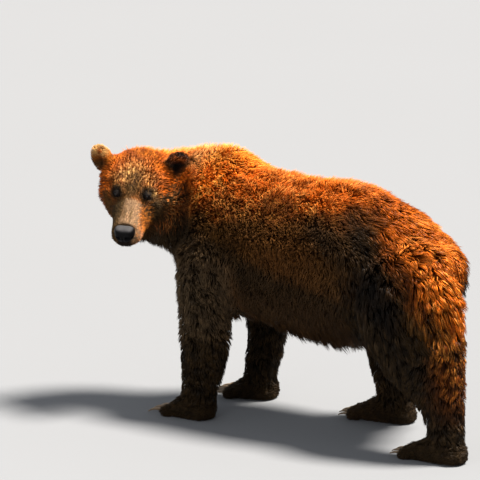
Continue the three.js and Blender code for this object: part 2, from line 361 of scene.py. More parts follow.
class Value:
    """The output of a shader node. Arithmetic on it adds Math nodes."""

    def __init__(self, tree: bpy.types.NodeTree, socket: bpy.types.NodeSocket) -> None:
        """Wraps a socket of a node tree."""
        self.tree = tree
        self.socket = socket

    def _math(self, operation: str, *terms: "Value | float") -> "Value":
        """A Math node.

        Args:
            operation: What it works out.
            terms: Values to link or numbers to set.

        Returns:
            Its output.
        """
        node = self.tree.nodes.new("ShaderNodeMath")
        node.operation = operation
        for slot, term in zip(node.inputs, terms):
            if isinstance(term, Value):
                self.tree.links.new(term.socket, slot)
            else:
                slot.default_value = term
        return Value(self.tree, node.outputs[0])

    def __add__(self, other: "Value | float") -> "Value":
        """self + other."""
        return self._math("ADD", self, other)

    def __sub__(self, other: "Value | float") -> "Value":
        """self - other."""
        return self._math("SUBTRACT", self, other)

    def __rsub__(self, other: float) -> "Value":
        """other - self."""
        return self._math("SUBTRACT", other, self)

    def __mul__(self, other: "Value | float") -> "Value":
        """self * other."""
        return self._math("MULTIPLY", self, other)

    __radd__ = __add__
    __rmul__ = __mul__


class Shader:
    """A material under construction, with one Principled surface."""

    def __init__(self, name: str, **constants: object) -> None:
        """Starts a material.

        Args:
            name: The material's name.
            constants: Values of the surface's sockets that are the same all over.
        """
        self.material = bpy.data.materials.new(name)
        self.material.use_nodes = True
        self.tree = self.material.node_tree
        self.surface = self.tree.nodes["Principled BSDF"]
        for word, value in constants.items():
            self.surface.inputs[word.replace("_", " ").title().replace("Ior", "IOR")].default_value = value

    def node(
        self, kind: str, settings: dict[str, object] | None = None, output: str | int = 0, **sockets: object
    ) -> Value:
        """Any node, with its settings made first.

        Args:
            kind: The node's type, without its ShaderNode prefix.
            settings: Its own properties. stops, for a ramp, is a list of places and colours.
            output: The output that is wanted.
            sockets: Values or links for its inputs, by name or by number after an underscore.

        Returns:
            The wanted output.
        """
        node = self.tree.nodes.new("ShaderNode" + kind)
        for word, value in (settings or {}).items():
            if word == "stops":
                stops = node.color_ramp.elements
                while len(stops) < len(value):
                    stops.new(1.0)
                for stop, (place, colour) in zip(stops, value):
                    stop.position = place
                    stop.color = (*colour, 1.0)
            else:
                setattr(node, word, value)
        for word, value in sockets.items():
            key = int(word[1:]) if word.startswith("_") else word.replace("_", " ").title()
            self.join(value, node.inputs[key])
        return Value(self.tree, node.outputs[output])

    def join(self, value: object, slot: bpy.types.NodeSocket) -> None:
        """Sets an input to a value, or links it.

        Args:
            value: A number, a colour or another node's output.
            slot: The input.
        """
        if isinstance(value, Value):
            self.tree.links.new(value.socket, slot)
        elif isinstance(value, tuple) and len(value) == 3 and slot.type == "RGBA":
            slot.default_value = (*value, 1.0)
        else:
            slot.default_value = value

    def blend(self, share: Value | float, first: object, second: object, way: str = "MIX") -> Value:
        """Two colours mixed."""
        settings = {"data_type": "RGBA", "blend_type": way}
        return self.node("Mix", settings, output=2, _0=share, _6=first, _7=second)

    def stored(self, name: str, output: str) -> Value:
        """What the mesh keeps for its points under a name."""
        return self.node("Attribute", {"attribute_name": name}, output=output)

    def place(self) -> Value:
        """Places on the object, in metres."""
        return self.node("TexCoord", output="Object")

    def grain(self, size: float, detail: float = 3.0) -> Value:
        """Noise from 0 to 1 whose cells have a size in metres."""
        return self.node("TexNoise", vector=self.place(), scale=1 / size, detail=detail)

    def pebbles(self, size: float) -> Value:
        """Rounded cells of a size in metres, 0 at their middles."""
        return self.node("TexVoronoi", vector=self.place(), scale=1 / size)

    def paint(self, **sockets: Value) -> None:
        """Links the surface's inputs."""
        for word, value in sockets.items():
            self.join(value, self.surface.inputs[word.replace("_", " ").title()])

    def relief(self, height: Value, depth: float) -> None:
        """Raises the surface by a height from 0 to 1, at a depth in metres."""
        self.paint(normal=self.node("Bump", distance=depth, strength=1.0, height=height))


# ---- Finishes ----


@dataclass(frozen=True)
class CoatFinish:
    """Hair in tufts: the colour that each tuft carries, streaked by single hairs."""

    name: str = "coat"
    shine: float = 0.12
    roughness: float = 0.62
    wet_roughness: float = 0.36
    hair: float = 1.1 * MM
    shade: Colour = (0.52, 0.46, 0.42)

    def material(self) -> bpy.types.Material:
        """Makes the material.

        Returns:
            The material.
        """
        shader = Shader(self.name, specular_ior_level=self.shine)
        streaks = self.streaks(shader)
        coat = shader.stored("coat", "Color")
        wet = shader.stored("wet", "Fac")
        dark = shader.blend(1.0, coat, self.shade, "MULTIPLY")
        shader.paint(
            base_color=shader.blend(streaks, dark, coat),
            roughness=self.roughness - wet * (self.roughness - self.wet_roughness),
        )
        return shader.material

    def streaks(self, shader: Shader) -> Value:
        """Light and dark hairs along each tuft, from 0 to 1."""
        noise = shader.grain(self.hair * 3, detail=2.0)
        return shader.node("MapRange", value=noise, from_min=0.36, from_max=0.56)


@dataclass(frozen=True)
class SkinFinish:
    """Short underfur and bare skin: the same markings as the coat, darker towards the roots."""

    name: str = "skin"
    shine: float = 0.1
    hair: float = 1.6 * MM
    leather: float = 1 / 420
    depth: float = 0.8 * MM
    shade: Colour = (0.3, 0.26, 0.24)

    def material(self) -> bpy.types.Material:
        """Makes the material.

        Returns:
            The material.
        """
        shader = Shader(self.name, specular_ior_level=self.shine)
        bare = shader.stored("bare", "Fac")
        coat = shader.stored("coat", "Color")
        strands = shader.grain(self.hair)
        roots = shader.blend(strands, shader.blend(1.0, coat, self.shade, "MULTIPLY"), coat)
        shader.paint(base_color=roots, roughness=0.85 - bare * 0.4)
        shader.relief(shader.blend(bare, strands, shader.pebbles(self.leather)), self.depth)
        return shader.material


@dataclass(frozen=True)
class NoseFinish:
    """Moist black leather with a fine pebble grain, rougher on top and greyer there, a painted sheen where
    the light falls on the top plane.
    """

    name: str = "nose_leather"
    shine: float = 0.09
    black: Colour = tone(6, 5, 6)
    grey: Colour = tone(58, 57, 58)
    pebble: float = 2.0 * MM
    patch: float = 9 * MM
    depth: float = 0.5 * MM

    def material(self) -> bpy.types.Material:
        """Makes the material.

        Returns:
            The material.
        """
        shader = Shader(self.name, specular_ior_level=self.shine)
        pebbles = shader.pebbles(self.pebble)
        top = shader.stored("top", "Fac")
        patchy = shader.grain(self.patch)
        shader.paint(
            base_color=shader.blend(top * (0.55 + patchy * 0.7), self.black, self.grey),
            roughness=0.45 + top * 0.2 + pebbles * 0.1,
        )
        shader.relief(pebbles, self.depth)
        return shader.material


@dataclass(frozen=True)
class EyeFinish:
    """A wet dark brown eye: pupil, iris with fine spokes, and a dark white of the eye."""

    name: str = "eye_wet"
    shine: float = 0.25
    roughness: float = 0.08
    pupil: Colour = tone(4, 3, 3)
    iris: Colour = tone(44, 24, 11)
    rim: Colour = tone(18, 11, 8)
    spoke: float = 0.9 * MM

    def material(self) -> bpy.types.Material:
        """Makes the material.

        Returns:
            The material.
        """
        shader = Shader(self.name, roughness=self.roughness, specular_ior_level=self.shine)
        rings = [(0.0, self.pupil), (0.22, self.pupil), (0.27, self.iris), (0.5, self.iris), (0.6, self.rim)]
        ring = shader.node("ValToRGB", {"stops": rings}, fac=shader.stored("out", "Fac"))
        spokes = shader.grain(self.spoke)
        shader.paint(base_color=shader.blend(spokes * 0.6, ring, self.rim))
        return shader.material


@dataclass(frozen=True)
class ClawFinish:
    """Horn, dark at its root and paler to the tip, with growth lines."""

    name: str = "claw_horn"
    gloss: float = 0.2
    gloss_roughness: float = 0.25
    dark: Colour = tone(52, 40, 30)
    pale: Colour = tone(150, 124, 92)
    line: float = 2.2 * MM
    cloud: float = 30 * MM
    depth: float = 0.3 * MM

    def material(self) -> bpy.types.Material:
        """Makes the material.

        Returns:
            The material.
        """
        shader = Shader(self.name, coat_weight=self.gloss, coat_roughness=self.gloss_roughness)
        lines = shader.grain(self.line)
        cloudy = shader.grain(self.cloud)
        shader.paint(
            base_color=shader.blend(cloudy * 0.7 + lines * 0.25, self.dark, self.pale),
            roughness=0.3 + lines * 0.25,
        )
        shader.relief(lines, self.depth)
        return shader.material


@dataclass(frozen=True)
class FloorFinish:
    """A plain pale studio floor."""

    name: str = "floor_pale"
    roughness: float = 0.9
    pale: Colour = tone(107, 109, 112)
    cloudy: Colour = tone(98, 100, 103)
    cloud: float = 1.5

    def material(self) -> bpy.types.Material:
        """Makes the material.

        Returns:
            The material.
        """
        shader = Shader(self.name, roughness=self.roughness)
        shader.paint(base_color=shader.blend(shader.grain(self.cloud) * 0.1, self.pale, self.cloudy))
        return shader.material


# ---- Where things are on the bear ----


def middle_of(node: str) -> Array:
    """The middle of a node's box."""
    low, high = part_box(node)
    return np.array((low + high) / 2)


class HeadFrame:
    """The head's own axes: left, ahead and up, in millimetres from midway between the ears."""

    EYE_ASIDE = 72.0
    EYE_AHEAD = 168.0
    EYE_DOWN = 57.0
    NOSE_AHEAD = 336.0
    NOSE_DOWN = 149.0
    EYE = (EYE_ASIDE, EYE_AHEAD, -EYE_DOWN)
    NOSE = (0.0, NOSE_AHEAD, -NOSE_DOWN)
    EAR_ROOT = (138.0, 0.0, -66.0)

    def __init__(self) -> None:
        """Finds the axes from where the eyes and the nose are."""
        left_eye, right_eye = middle_of("left_eye"), middle_of("right_eye")
        between = (left_eye + right_eye) / 2
        left = unit(left_eye - right_eye)
        to_nose = middle_of("nose") - between
        along = unit(to_nose - (to_nose @ left) * left)
        over = np.cross(along, left)
        slope = math.atan2(self.NOSE_DOWN - self.EYE_DOWN, self.NOSE_AHEAD - self.EYE_AHEAD)
        ahead = along * math.cos(slope) + over * math.sin(slope)
        up = over * math.cos(slope) - along * math.sin(slope)
        self.axes = np.stack([left, ahead, up])
        self.origin = between - ahead * self.EYE_AHEAD * MM + up * self.EYE_DOWN * MM

    @property
    def ahead(self) -> Array:
        """The direction in which the head points."""
        return self.axes[1]

    def to_face(self, points: Array) -> Array:
        """Points of the body in the head's axes, in millimetres."""
        return (points - self.origin) @ self.axes.T / MM

    def to_body(self, points: Array) -> Array:
        """Points in the head's axes back on the body."""
        return self.origin + points @ self.axes * MM


@dataclass(frozen=True)
class Socket:
    """The opening between the lids of one eye, seen along the eye's gaze. Millimetres in the head's axes."""

    side: float
    radius: float = 12.4
    deep: float = 5.0
    half_width: float = 11.6
    half_height: float = 6.6
    slant: float = math.radians(14)

    LOOK = (0.34, 0.91, 0.22)

    @property
    def gaze(self) -> Array:
        """The direction in which the eye looks."""
        return unit(mirrored(self.LOOK, self.side))

    @property
    def centre(self) -> Array:
        """The middle of the eyeball."""
        return mirrored(HeadFrame.EYE, self.side) - self.gaze * self.deep

    @property
    def axes(self) -> Array:
        """The socket's own axes.

        Returns:
            Outwards along the lids, upright across them, and along the gaze.
        """
        level = unit(np.cross([0.0, 0.0, self.side], self.gaze)) * -1.0
        upright = unit(np.cross(self.gaze, level)) * -self.side
        turn, rise = math.cos(self.slant), math.sin(self.slant)
        return np.stack([level * turn + upright * rise, upright * turn - level * rise, self.gaze])

    def local(self, face: Array) -> Array:
        """Points of the face as outwards, upright and high over the middle of the eyeball."""
        return (face - self.centre) @ self.axes.T

    def edge(self, outwards: Array, upright: Array) -> Array:
        """How far places are outside the opening.

        Args:
            outwards: How far they are from its middle along the lids.
            upright: How far they are from its middle across the lids.

        Returns:
            Millimetres, negative inside the opening.
        """
        share = np.clip(np.abs(outwards) / self.half_width, 0, 1)
        tall = self.half_height * (1 - share**2.2)
        beyond = np.maximum(np.abs(outwards) - self.half_width, 0)
        return np.where(beyond > 0, np.hypot(beyond, upright), np.abs(upright) - tall)


SOCKETS = [Socket(side) for side in SIDES.values()]


class Part(Enum):
    """The regions of the coat."""

    TRUNK = "trunk"
    BELLY = "belly"
    RUMP = "rump"
    NECK = "neck"
    TAIL = "tail"
    SHOULDER = "shoulder"
    THIGH = "thigh"
    SHANK = "shank"
    PAW = "paw"
    CROWN = "crown"
    CHEEK = "cheek"
    JAW = "jaw"
    MUZZLE = "muzzle"
    EYE_RIM = "eye_rim"
    EAR = "ear"


@dataclass(frozen=True)
class Lay:
    """How the coat lies in one region: millimetres, and shares from 0 to 1.

    The skin lies a depth inside the solids, and the tips of the tufts rise to a height over the skin.
    """

    depth: float
    height: float
    length: float
    width: float
    spacing: float
    lock: float
    wet: float = 0.0
    wave: float = 0.0
    frizz: float = 0.12
    hang: float = 0.0


COAT = {
    Part.TRUNK: Lay(46, 50, 60, 5.0, 5.9, lock=0.55, wave=0.16, frizz=0.24),
    Part.BELLY: Lay(48, 40, 78, 6.4, 6.6, lock=0.85, wet=0.9, wave=0.08, hang=0.55),
    Part.RUMP: Lay(44, 48, 92, 5.6, 6.1, lock=0.9, wet=0.85, wave=0.18, frizz=0.08),
    Part.NECK: Lay(48, 54, 60, 5.0, 5.8, lock=0.55, wave=0.16, frizz=0.15),
    Part.TAIL: Lay(18, 24, 50, 5.6, 6.0, lock=0.5, wet=0.3),
    Part.SHOULDER: Lay(38, 42, 60, 5.8, 6.0, lock=0.7, wet=0.6, wave=0.10),
    Part.THIGH: Lay(40, 42, 88, 5.0, 5.9, lock=0.9, wet=0.9, wave=0.16, frizz=0.08),
    Part.SHANK: Lay(24, 29, 48, 5.0, 5.4, lock=0.75, wet=0.8, wave=0.08),
    Part.PAW: Lay(9, 10, 18, 3.4, 4.2, lock=0.4, wet=0.4),
    Part.CROWN: Lay(15, 18, 24, 2.9, 3.5, lock=0.65, wave=0.22, frizz=0.20),
    Part.CHEEK: Lay(30, 36, 46, 3.8, 4.1, lock=0.8, wet=0.2, wave=0.12, frizz=0.10),
    Part.JAW: Lay(18, 20, 32, 3.8, 4.4, lock=0.6, wet=0.2),
    Part.MUZZLE: Lay(5, 6.5, 12, 2.0, 2.6, lock=0.5, wave=0.10, frizz=0.18),
    Part.EYE_RIM: Lay(4, 4, 8, 1.5, 2.1, lock=0.3),
    Part.EAR: Lay(5, 10, 22, 2.3, 2.9, lock=0.6, wave=0.18, frizz=0.15),
}


NODE_GROUPS = {
    "trunk": ["trunk"],
    "neck": ["neck"],
    "tail": ["tail"],
    "head": ["head", "lower_jaw"],
    "ear": ["left_ear", "right_ear"],
    "upper_fore": ["left_fore_upper_leg", "right_fore_upper_leg"],
    "upper_hind": ["left_hind_upper_leg", "right_hind_upper_leg"],
    "lower_leg": [f"{leg}_lower_leg" for leg in LEGS],
    "paw": [f"{leg}_paw" for leg in LEGS],
}
FLESH = [name for group in NODE_GROUPS.values() for name in group]


def columns(shares: Array, *groups: str) -> Array:
    """The shares of some groups of nodes, added up."""
    return shares[:, [list(NODE_GROUPS).index(group) for group in groups]].sum(axis=1)


@dataclass
class Sites:
    """Places on the skin with all that tells how the coat lies there.

    shares holds how much each place belongs to each group of nodes, a column for each group.
    """

    points: Array
    normals: Array
    shares: Array
    head: HeadFrame

    TRUNK_MIDDLE = -0.053
    CREASE = Streak((0.106, -0.560, 1.11), (0.178, -0.540, 0.88), 0.022, 0.074)
    NAPE = Spot((0.03, -0.57, 1.19), 0.10)

    @cached_property
    def group(self) -> dict[str, Array]:
        """The share of each group of nodes."""
        return dict(zip(NODE_GROUPS, self.shares.T))

    @cached_property
    def face(self) -> Array:
        """The places in the head's axes."""
        return self.head.to_face(self.points)

    @cached_property
    def face_side(self) -> Array:
        """1 on the left half of the head, -1 on the right half."""
        return np.where(self.face[:, 0] > 0, 1.0, -1.0)

    @cached_property
    def eye_distance(self) -> Array:
        """How far the places are outside the nearer opening between the lids.

        Returns:
            Millimetres, negative inside the opening.
        """
        found = np.full(len(self.points), 1e3)
        for socket in SOCKETS:
            outwards, upright, high = socket.local(self.face).T
            edge = socket.edge(outwards, upright) + np.maximum(np.abs(high - 6) - 20, 0)
            found = np.minimum(found, edge)
        return found

    @cached_property
    def round_left_eye(self) -> Array:
        """Millimetres from the middle of the left eye, seen from the front."""
        return np.hypot(self.face[:, 0] - HeadFrame.EYE_ASIDE, self.face[:, 2] + HeadFrame.EYE_DOWN)

    @cached_property
    def crease(self) -> Array:
        """1 in the fold of the neck behind the left cheek, 0 elsewhere."""
        return self.CREASE.at(self.points) * (1 - self.group["ear"])

    @cached_property
    def nape(self) -> Array:
        """1 on the full coat behind the crown, 0 elsewhere."""
        return self.NAPE.at(self.points)

    @cached_property
    def head_parts(self) -> dict[Part, Array]:
        """The share of each region of the head.

        Returns:
            The shares. They add up to the share of the head.
        """
        left, ahead, up = self.face.T
        side = np.abs(left)
        rim = ease(16, 6, self.eye_distance)
        muzzle = ease(168, 200, ahead + 0.25 * (up + 120)) * ease(118, 92, side) * (1 - rim)
        under = ease(-196, -224, up + 0.05 * ahead) * (1 - muzzle * ease(-236, -228, up))
        chin = np.maximum(under * (1 - muzzle), muzzle * ease(-214, -226, up))
        cheek = ease(82, 118, side) * ease(150, 96, ahead - 0.2 * (up + 120)) * ease(14, -40, up)
        rest = self.group["head"]
        found = {}
        for part, mask in zip((Part.EYE_RIM, Part.JAW, Part.MUZZLE, Part.CHEEK), (rim, chin, muzzle, cheek)):
            found[part] = rest * mask
            rest = rest * (1 - mask)
        found[Part.CROWN] = rest
        return found

    @cached_property
    def parts(self) -> dict[Part, Array]:
        """The share of each region of the coat.

        Returns:
            The shares. They add up to 1.
        """
        group = self.group
        x, y, z = self.points.T
        belly = ease(0.60, 0.50, z) * ease(0.32, 0.26, np.abs(x - self.TRUNK_MIDDLE))
        rump = ease(0.22, 0.50, y)
        ankle = ease(0.045, 0.11, z)
        found = {
            **self.head_parts,
            Part.BELLY: group["trunk"] * belly,
            Part.RUMP: group["trunk"] * (1 - belly) * rump,
            Part.TRUNK: group["trunk"] * (1 - belly) * (1 - rump),
            Part.NECK: group["neck"],
            Part.TAIL: group["tail"],
            Part.SHOULDER: group["upper_fore"],
            Part.THIGH: group["upper_hind"],
            Part.SHANK: group["lower_leg"] + group["paw"] * ankle,
            Part.PAW: group["paw"] * (1 - ankle),
            Part.EAR: group["ear"],
        }
        total = sum(found.values())
        return {part: share / np.maximum(total, 1e-6) for part, share in found.items()}

    def lay(self, word: str) -> Array:
        """One measure of the coat at each place, from COAT."""
        return sum(share * getattr(COAT[part], word) for part, share in self.parts.items())

    @cached_property
    def sole(self) -> Array:
        """1 on the bare soles, 0 elsewhere."""
        low = ease(SOLE_HEIGHT * 3, SOLE_HEIGHT, self.points[:, 2])
        return low * ease(0.5, 0.9, -self.normals[:, 2])

    @cached_property
    def flow(self) -> Array:
        """The direction in which the hair lies.

        Returns:
            A direction for each place, not yet laid along the skin.
        """
        x, _, z = self.points.T
        left, _, up = self.face.T
        side = np.sign(x - self.TRUNK_MIDDLE)
        low = ease(0.95, 0.70, z)
        turn = np.clip(left / 150, -1, 1)
        from_head = unit(self.points - self.head.to_body(np.array([0.0, 60.0, -60.0])))

        def body(sideways: Array | float, back: Array | float, rise: Array | float) -> Array:
            """Directions in the body's axes."""
            return np.stack(np.broadcast_arrays(x, sideways, back, rise)[1:], axis=1)

        def face(outward: Array | float, forward: Array | float, rise: Array | float) -> Array:
            """Directions in the head's axes."""
            return body(outward, forward, rise) @ self.head.axes

        ways = {
            Part.TRUNK: body(0.15 * side, 0.9 - 0.55 * low, -0.35 - 1.1 * low),
            Part.BELLY: body(0.0, 0.8, -0.8),
            Part.RUMP: body(0.2 * side, 0.95 - 0.2 * low, -0.5 - 0.5 * low),
            Part.NECK: from_head * 0.9 + body(0.0, 0.35, -0.45),
            Part.TAIL: body(0.0, 0.2, -1.0),
            Part.SHOULDER: body(0.0, 0.28, -1.0),
            Part.THIGH: body(0.0, 0.52, -1.0),
            Part.SHANK: body(0.0, 0.25, -1.0),
            Part.PAW: body(0.0, -0.9, -0.5),
            Part.CROWN: face(0.55 * turn, -1.0, 0.25),
            Part.CHEEK: face(0.8 * turn, -0.6, -0.35 - 0.9 * ease(-20, -140, up)),
            Part.JAW: face(0.2 * turn, -1.0, -0.35),
            Part.MUZZLE: face(0.55 * turn, -1.0, 0.1 - 0.4 * np.abs(turn)),
            Part.EYE_RIM: self.points - self.head.to_body(mirrored(HeadFrame.EYE, self.face_side)),
            Part.EAR: self.points - self.ear_root,
        }
        return sum(unit(way) * self.parts[part][:, None] for part, way in ways.items())

    @cached_property
    def ear_rim(self) -> Array:
        """1 on the rims of the ears, where the hair stands out, 0 elsewhere."""
        outwards = unit(self.points - self.ear_root)
        return self.group["ear"] * ease(0.45, 0.85, (outwards * self.normals).sum(1))

    @cached_property
    def ear_root(self) -> Array:
        """A place under the nearer ear's root, on the body."""
        return self.head.to_body(mirrored(HeadFrame.EAR_ROOT, self.face_side))


# ---- Markings ----


def washed(colour: Array | Colour, *layers: tuple[Colour, Array | float]) -> Array:
    """Colours with more colours washed over them in turn.

    Args:
        colour: One colour, or one for each place.
        layers: Each a colour and its share at each place.

    Returns:
        A colour for each place.
    """
    colour = np.array(colour)
    for over, share in layers:
        colour = colour + (np.array(over) - colour) * np.clip(share, 0, 1).reshape(-1, 1)
    return colour


@dataclass(frozen=True)
class Markings:
    """The colours of the coat over the body, the same for the skin and for the tufts. Some masks paint light
    and shade into them, and say so.

    The numbers in each mask say where it starts and ends: metres on the body, and millimetres in the
    head's axes on the head.
    """

    fox: Colour = tone(222, 108, 14)
    ginger: Colour = tone(232, 134, 34)
    gold: Colour = tone(236, 162, 76)
    rust: Colour = tone(140, 67, 10)
    bark: Colour = tone(92, 61, 24)
    umber: Colour = tone(69, 52, 28)
    blond: Colour = tone(228, 178, 108)
    tan: Colour = tone(138, 110, 82)
    brown: Colour = tone(148, 88, 36)
    olive: Colour = tone(92, 70, 38)
    cream: Colour = tone(232, 178, 112)
    rose: Colour = tone(222, 168, 136)
    soot: Colour = tone(18, 13, 11)
    pad: Colour = tone(38, 32, 29)
    dun: Colour = tone(90, 76, 58)
    brightest: float = 0.9

    WIDE = Noise(11, 0.085)
    FINE = Noise(12, 0.030)
    DOTS = Noise(13, 0.014)
    # Where the edge lies along the body: partly the coat's own colours and partly painted shade on the sides
    # away from the light.
    EDGE_Y = (-1.0, -0.6, -0.4, 0.1, 0.4, 0.56, 0.75, 0.90, 1.05)
    EDGE_Z = (0.93, 0.95, 0.98, 0.99, 0.985, 0.885, 0.78, 0.60, 0.34)
    # Painted shadow round the haunch and in front of the thigh.
    HIP = Streak((0.14, 0.34, 1.02), (0.27, 0.60, 0.70), 0.055, 0.12)
    FOLD_SHADOW = Streak((0.20, 0.20, 0.96), (0.235, 0.42, 0.87), 0.055, 0.075)
    # Painted shadow on the neck behind the edge of the left cheek's ruff.
    RUFF_SHADOW = Streak((0.122, -0.540, 1.085), (0.216, -0.468, 0.88), 0.030, 0.050)
    # Spots of painted shade on the head: on the left cheek, where light falls on the ends of its tufts, and
    # beside and below the left eye.
    CHEEKBONE_SHADE = Spot((160, 92, -84), 34)
    TEMPLE_SHADOW = Spot((114, 130, -54), 28)
    UNDER_EYE_SHADOW = Spot((82, 194, -94), 22)

    def over(self, sites: Sites) -> Array:
        """The colour at each place.

        Args:
            sites: Places on the skin.

        Returns:
            A linear colour for each place.
        """
        group = sites.group
        fine = self.FINE.at(sites.points)
        dots = self.DOTS.at(sites.points)
        colour = mingle(self.body(sites, fine, dots), self.face(sites, fine, dots), group["head"])
        colour = mingle(colour, self.ears(sites, fine), group["ear"])
        # Painted light: the trunk just behind the neck, on its side away from the light, is made up to half
        # again as bright, and faces that point up are made darker, by up to 0.36 on the head and 0.22 on the
        # body, where the light falls strongest.
        neck = bell(sites.points[:, 1], -0.44, 0.13) * ease(0.90, 1.0, sites.points[:, 2]) * group["trunk"]
        up = sites.normals[:, 2]
        high = 0.36 * ease(0.6, 1.0, up) * group["head"] + 0.22 * ease(0.88, 1.0, up) * group["trunk"]
        colour = np.minimum(colour * (1 + 0.5 * neck - high)[:, None], self.brightest)
        # Painted shadow: soot in the fold of the neck behind the left cheek and along the neck behind the
        # cheek's ruff.
        shadow = self.RUFF_SHADOW.at(sites.points) * (1 - group["ear"] - group["head"])
        return washed(colour, (self.soot, np.maximum(sites.crease, 0.9 * shadow)), (self.pad, sites.sole))

    def level(self, sites: Sites) -> Array:
        """The height over the edge between the bright back and the dark sides: partly the coat's own darker,
        wetter lower half and partly painted shade on the sides away from the light.

        Args:
            sites: Places on the skin.

        Returns:
            Metres, negative below the edge.
        """
        y, z = sites.points[:, 1], sites.points[:, 2]
        wide = self.WIDE.at(sites.points)
        fine = self.FINE.at(sites.points)
        return z - np.interp(y, self.EDGE_Y, self.EDGE_Z) + 0.045 * wide + 0.025 * fine

    def body(self, sites: Sites, fine: Array, dots: Array) -> Array:
        """Bright on the back, mottled gold along the side, and dark below, with painted light and shade over
        the coat's own colours.

        Args:
            sites: Places on the skin.
            fine: Noise at each place.
            dots: Finer noise at each place.

        Returns:
            A colour for each place.
        """
        y, z = sites.points[:, 1], sites.points[:, 2]
        _, ahead, up = sites.face.T
        group = sites.group
        level = self.level(sites)
        side = bell(y, 0.04, 0.30) * ease(0.02, -0.1, level)
        # Painted highlight: gold glints in a band just above the edge, towards the front.
        glint = bell(level, 0.05, 0.08) * ease(0.0, 0.5, dots + 0.4 * fine) * ease(0.45, 0.1, y)
        # Painted shadow round the haunch and in front of the thigh.
        hip_shadow = self.hip_shadow(sites)
        thigh = group["upper_hind"] * ease(0.82, 0.66, y) * ease(-0.02, -0.2, level)
        below = ease(0.76, 0.60, z) * (group["trunk"] + sites.parts[Part.BELLY]) * ease(0.5, 0.3, y)
        # Under the jaw: darker coat and painted shade.
        throat_dark_and_shade = ease(-130, -190, up) * ease(20, 90, ahead) * (1 - group["upper_fore"])
        # Painted rim light: rust along the back edge of the hind legs.
        rim_light_edge = ease(0.80, 0.98, y) * ease(0.15, 0.4, z) * ease(0.1, -0.2, level)
        return washed(
            self.umber,
            (self.bark, ease(-0.34, -0.02, level)),
            (self.brown, 0.32 * side),
            (self.dun, 0.5 * group["upper_fore"]),
            (self.rust, ease(-0.08, 0.05, level)),
            (self.fox, ease(0.0, 0.10, level)),
            (self.ginger, 0.6 * ease(0.1, 0.22, level) * (1 - 0.6 * bell(y, 0.15, 0.25))),
            (self.gold, 0.45 * bell(y, 0.60, 0.16) * ease(0.02, 0.12, level)),
            (self.gold, 0.25 * ease(0.12, 0.24, level) * ease(-0.1, -0.3, y)),
            (self.gold, 0.6 * glint),
            (self.ginger, 0.7 * ease(0.1, 0.6, fine) * ease(0.05, 0.2, level)),
            (self.rust, 0.6 * ease(0.1, 0.7, -fine - 0.3 * dots) * ease(0.0, 0.1, level)),
            (self.cream, 0.85 * sites.nape * ease(-0.8, 0.1, fine)),
            (self.umber, 0.95 * hip_shadow),
            (self.soot, 0.85 * hip_shadow),
            (self.soot, 0.5 * thigh),
            (self.brown, 0.5 * below),
            (self.umber, 0.85 * throat_dark_and_shade),
            (self.soot, 0.4 * throat_dark_and_shade),
            (self.rust, 0.6 * rim_light_edge),
        )

    def hip_shadow(self, sites: Sites) -> Array:
        """1 in the painted shadow round the haunch and in front of the thigh, over wet coat, 0 elsewhere."""
        return np.maximum(self.HIP.at(sites.points), self.FOLD_SHADOW.at(sites.points))

    def face(self, sites: Sites, fine: Array, dots: Array) -> Array:
        """Blond forehead, dark round the eyes, tan bridge of the nose and dark cheeks, with painted shade on
        the left cheek, beside and below the left eye and on top of the head, and a painted highlight over the
        left eye.

        Args:
            sites: Places on the skin.
            fine: Noise at each place.
            dots: Finer noise at each place.

        Returns:
            A colour for each place.
        """
        left, ahead, up = sites.face.T
        side = np.abs(left)
        eye = sites.eye_distance
        low = ease(-20, -58, up + 0.25 * (side - 100)) * ease(60, 90, side)
        between = bell(side, 0, 62) * ease(128, 150, ahead) * ease(200, 180, ahead)
        # Painted shade on the left cheek and beside the left eye.
        hollow_shade = np.maximum(0.9 * self.CHEEKBONE_SHADE.at(sites.face), 0.65 * self.TEMPLE_SHADOW.at(sites.face))
        snout = ease(172, 196, ahead + 0.25 * (up + 70)) * ease(104, 76, side)
        under_nose = ease(318, 334, ahead) * ease(-174, -184, up) * ease(40, 26, side)
        lips = bell(up, -208, 4) * ease(206, 222, ahead)
        tear = bell(side - 56, 0, 11) * bell(ahead, 190, 24) * bell(up, -78, 26)
        outside = 0.85 * (left - HeadFrame.EYE_ASIDE) + 0.5 * (up + HeadFrame.EYE_DOWN)
        # Painted highlight: a blond arc over the outer side of the left eye.
        brow = bell(sites.round_left_eye, 23, 6) * ease(2, 14, outside) * ease(125, 140, ahead)
        colour = washed(
            self.fox,
            # More rust on top of the head: painted shade against the light from above.
            (self.rust, 0.40 + 0.45 * ease(0, 32, up)),
            (self.ginger, 0.4 * ease(0.0, 0.6, fine)),
            (self.rust, 0.6 * ease(0.1, 0.7, -fine - 0.3 * dots)),
            (self.brown, 0.7 * ease(60, 120, ahead) * ease(150, 100, side)),
            (self.rust, 0.6 * low),
            (self.bark, low * ease(-0.6, 0.3, fine + 0.4 * dots) * 0.95),
            (self.umber, low * ease(-50, -120, up) * (0.55 + 0.4 * np.sign(left))),
            (self.bark, 0.9 * ease(-185, -230, up)),
            (self.umber, hollow_shade),
            (self.olive, 0.8 * self.forehead(sites)),
            (self.olive, 0.9 * between),
            (self.umber, 0.6 * bell(left, 6, 30) * bell(ahead, 130, 34)),
        )
        return washed(
            mingle(colour, self.muzzle(sites, fine, dots), snout),
            (self.bark, 0.7 * bell(up, -201, 9) * ease(210, 250, ahead)),
            (self.soot, 0.95 * np.maximum(under_nose, lips)),
            (self.umber, np.maximum(ease(36, 12, eye) * 0.85, 0.9 * tear)),
            # Painted shadow below the left eye, beside the muzzle.
            (self.soot, 0.8 * self.UNDER_EYE_SHADOW.at(sites.face)),
            (self.soot, ease(19, 8, eye)),
            (self.blond, brow * ease(3, 9, eye)),
        )

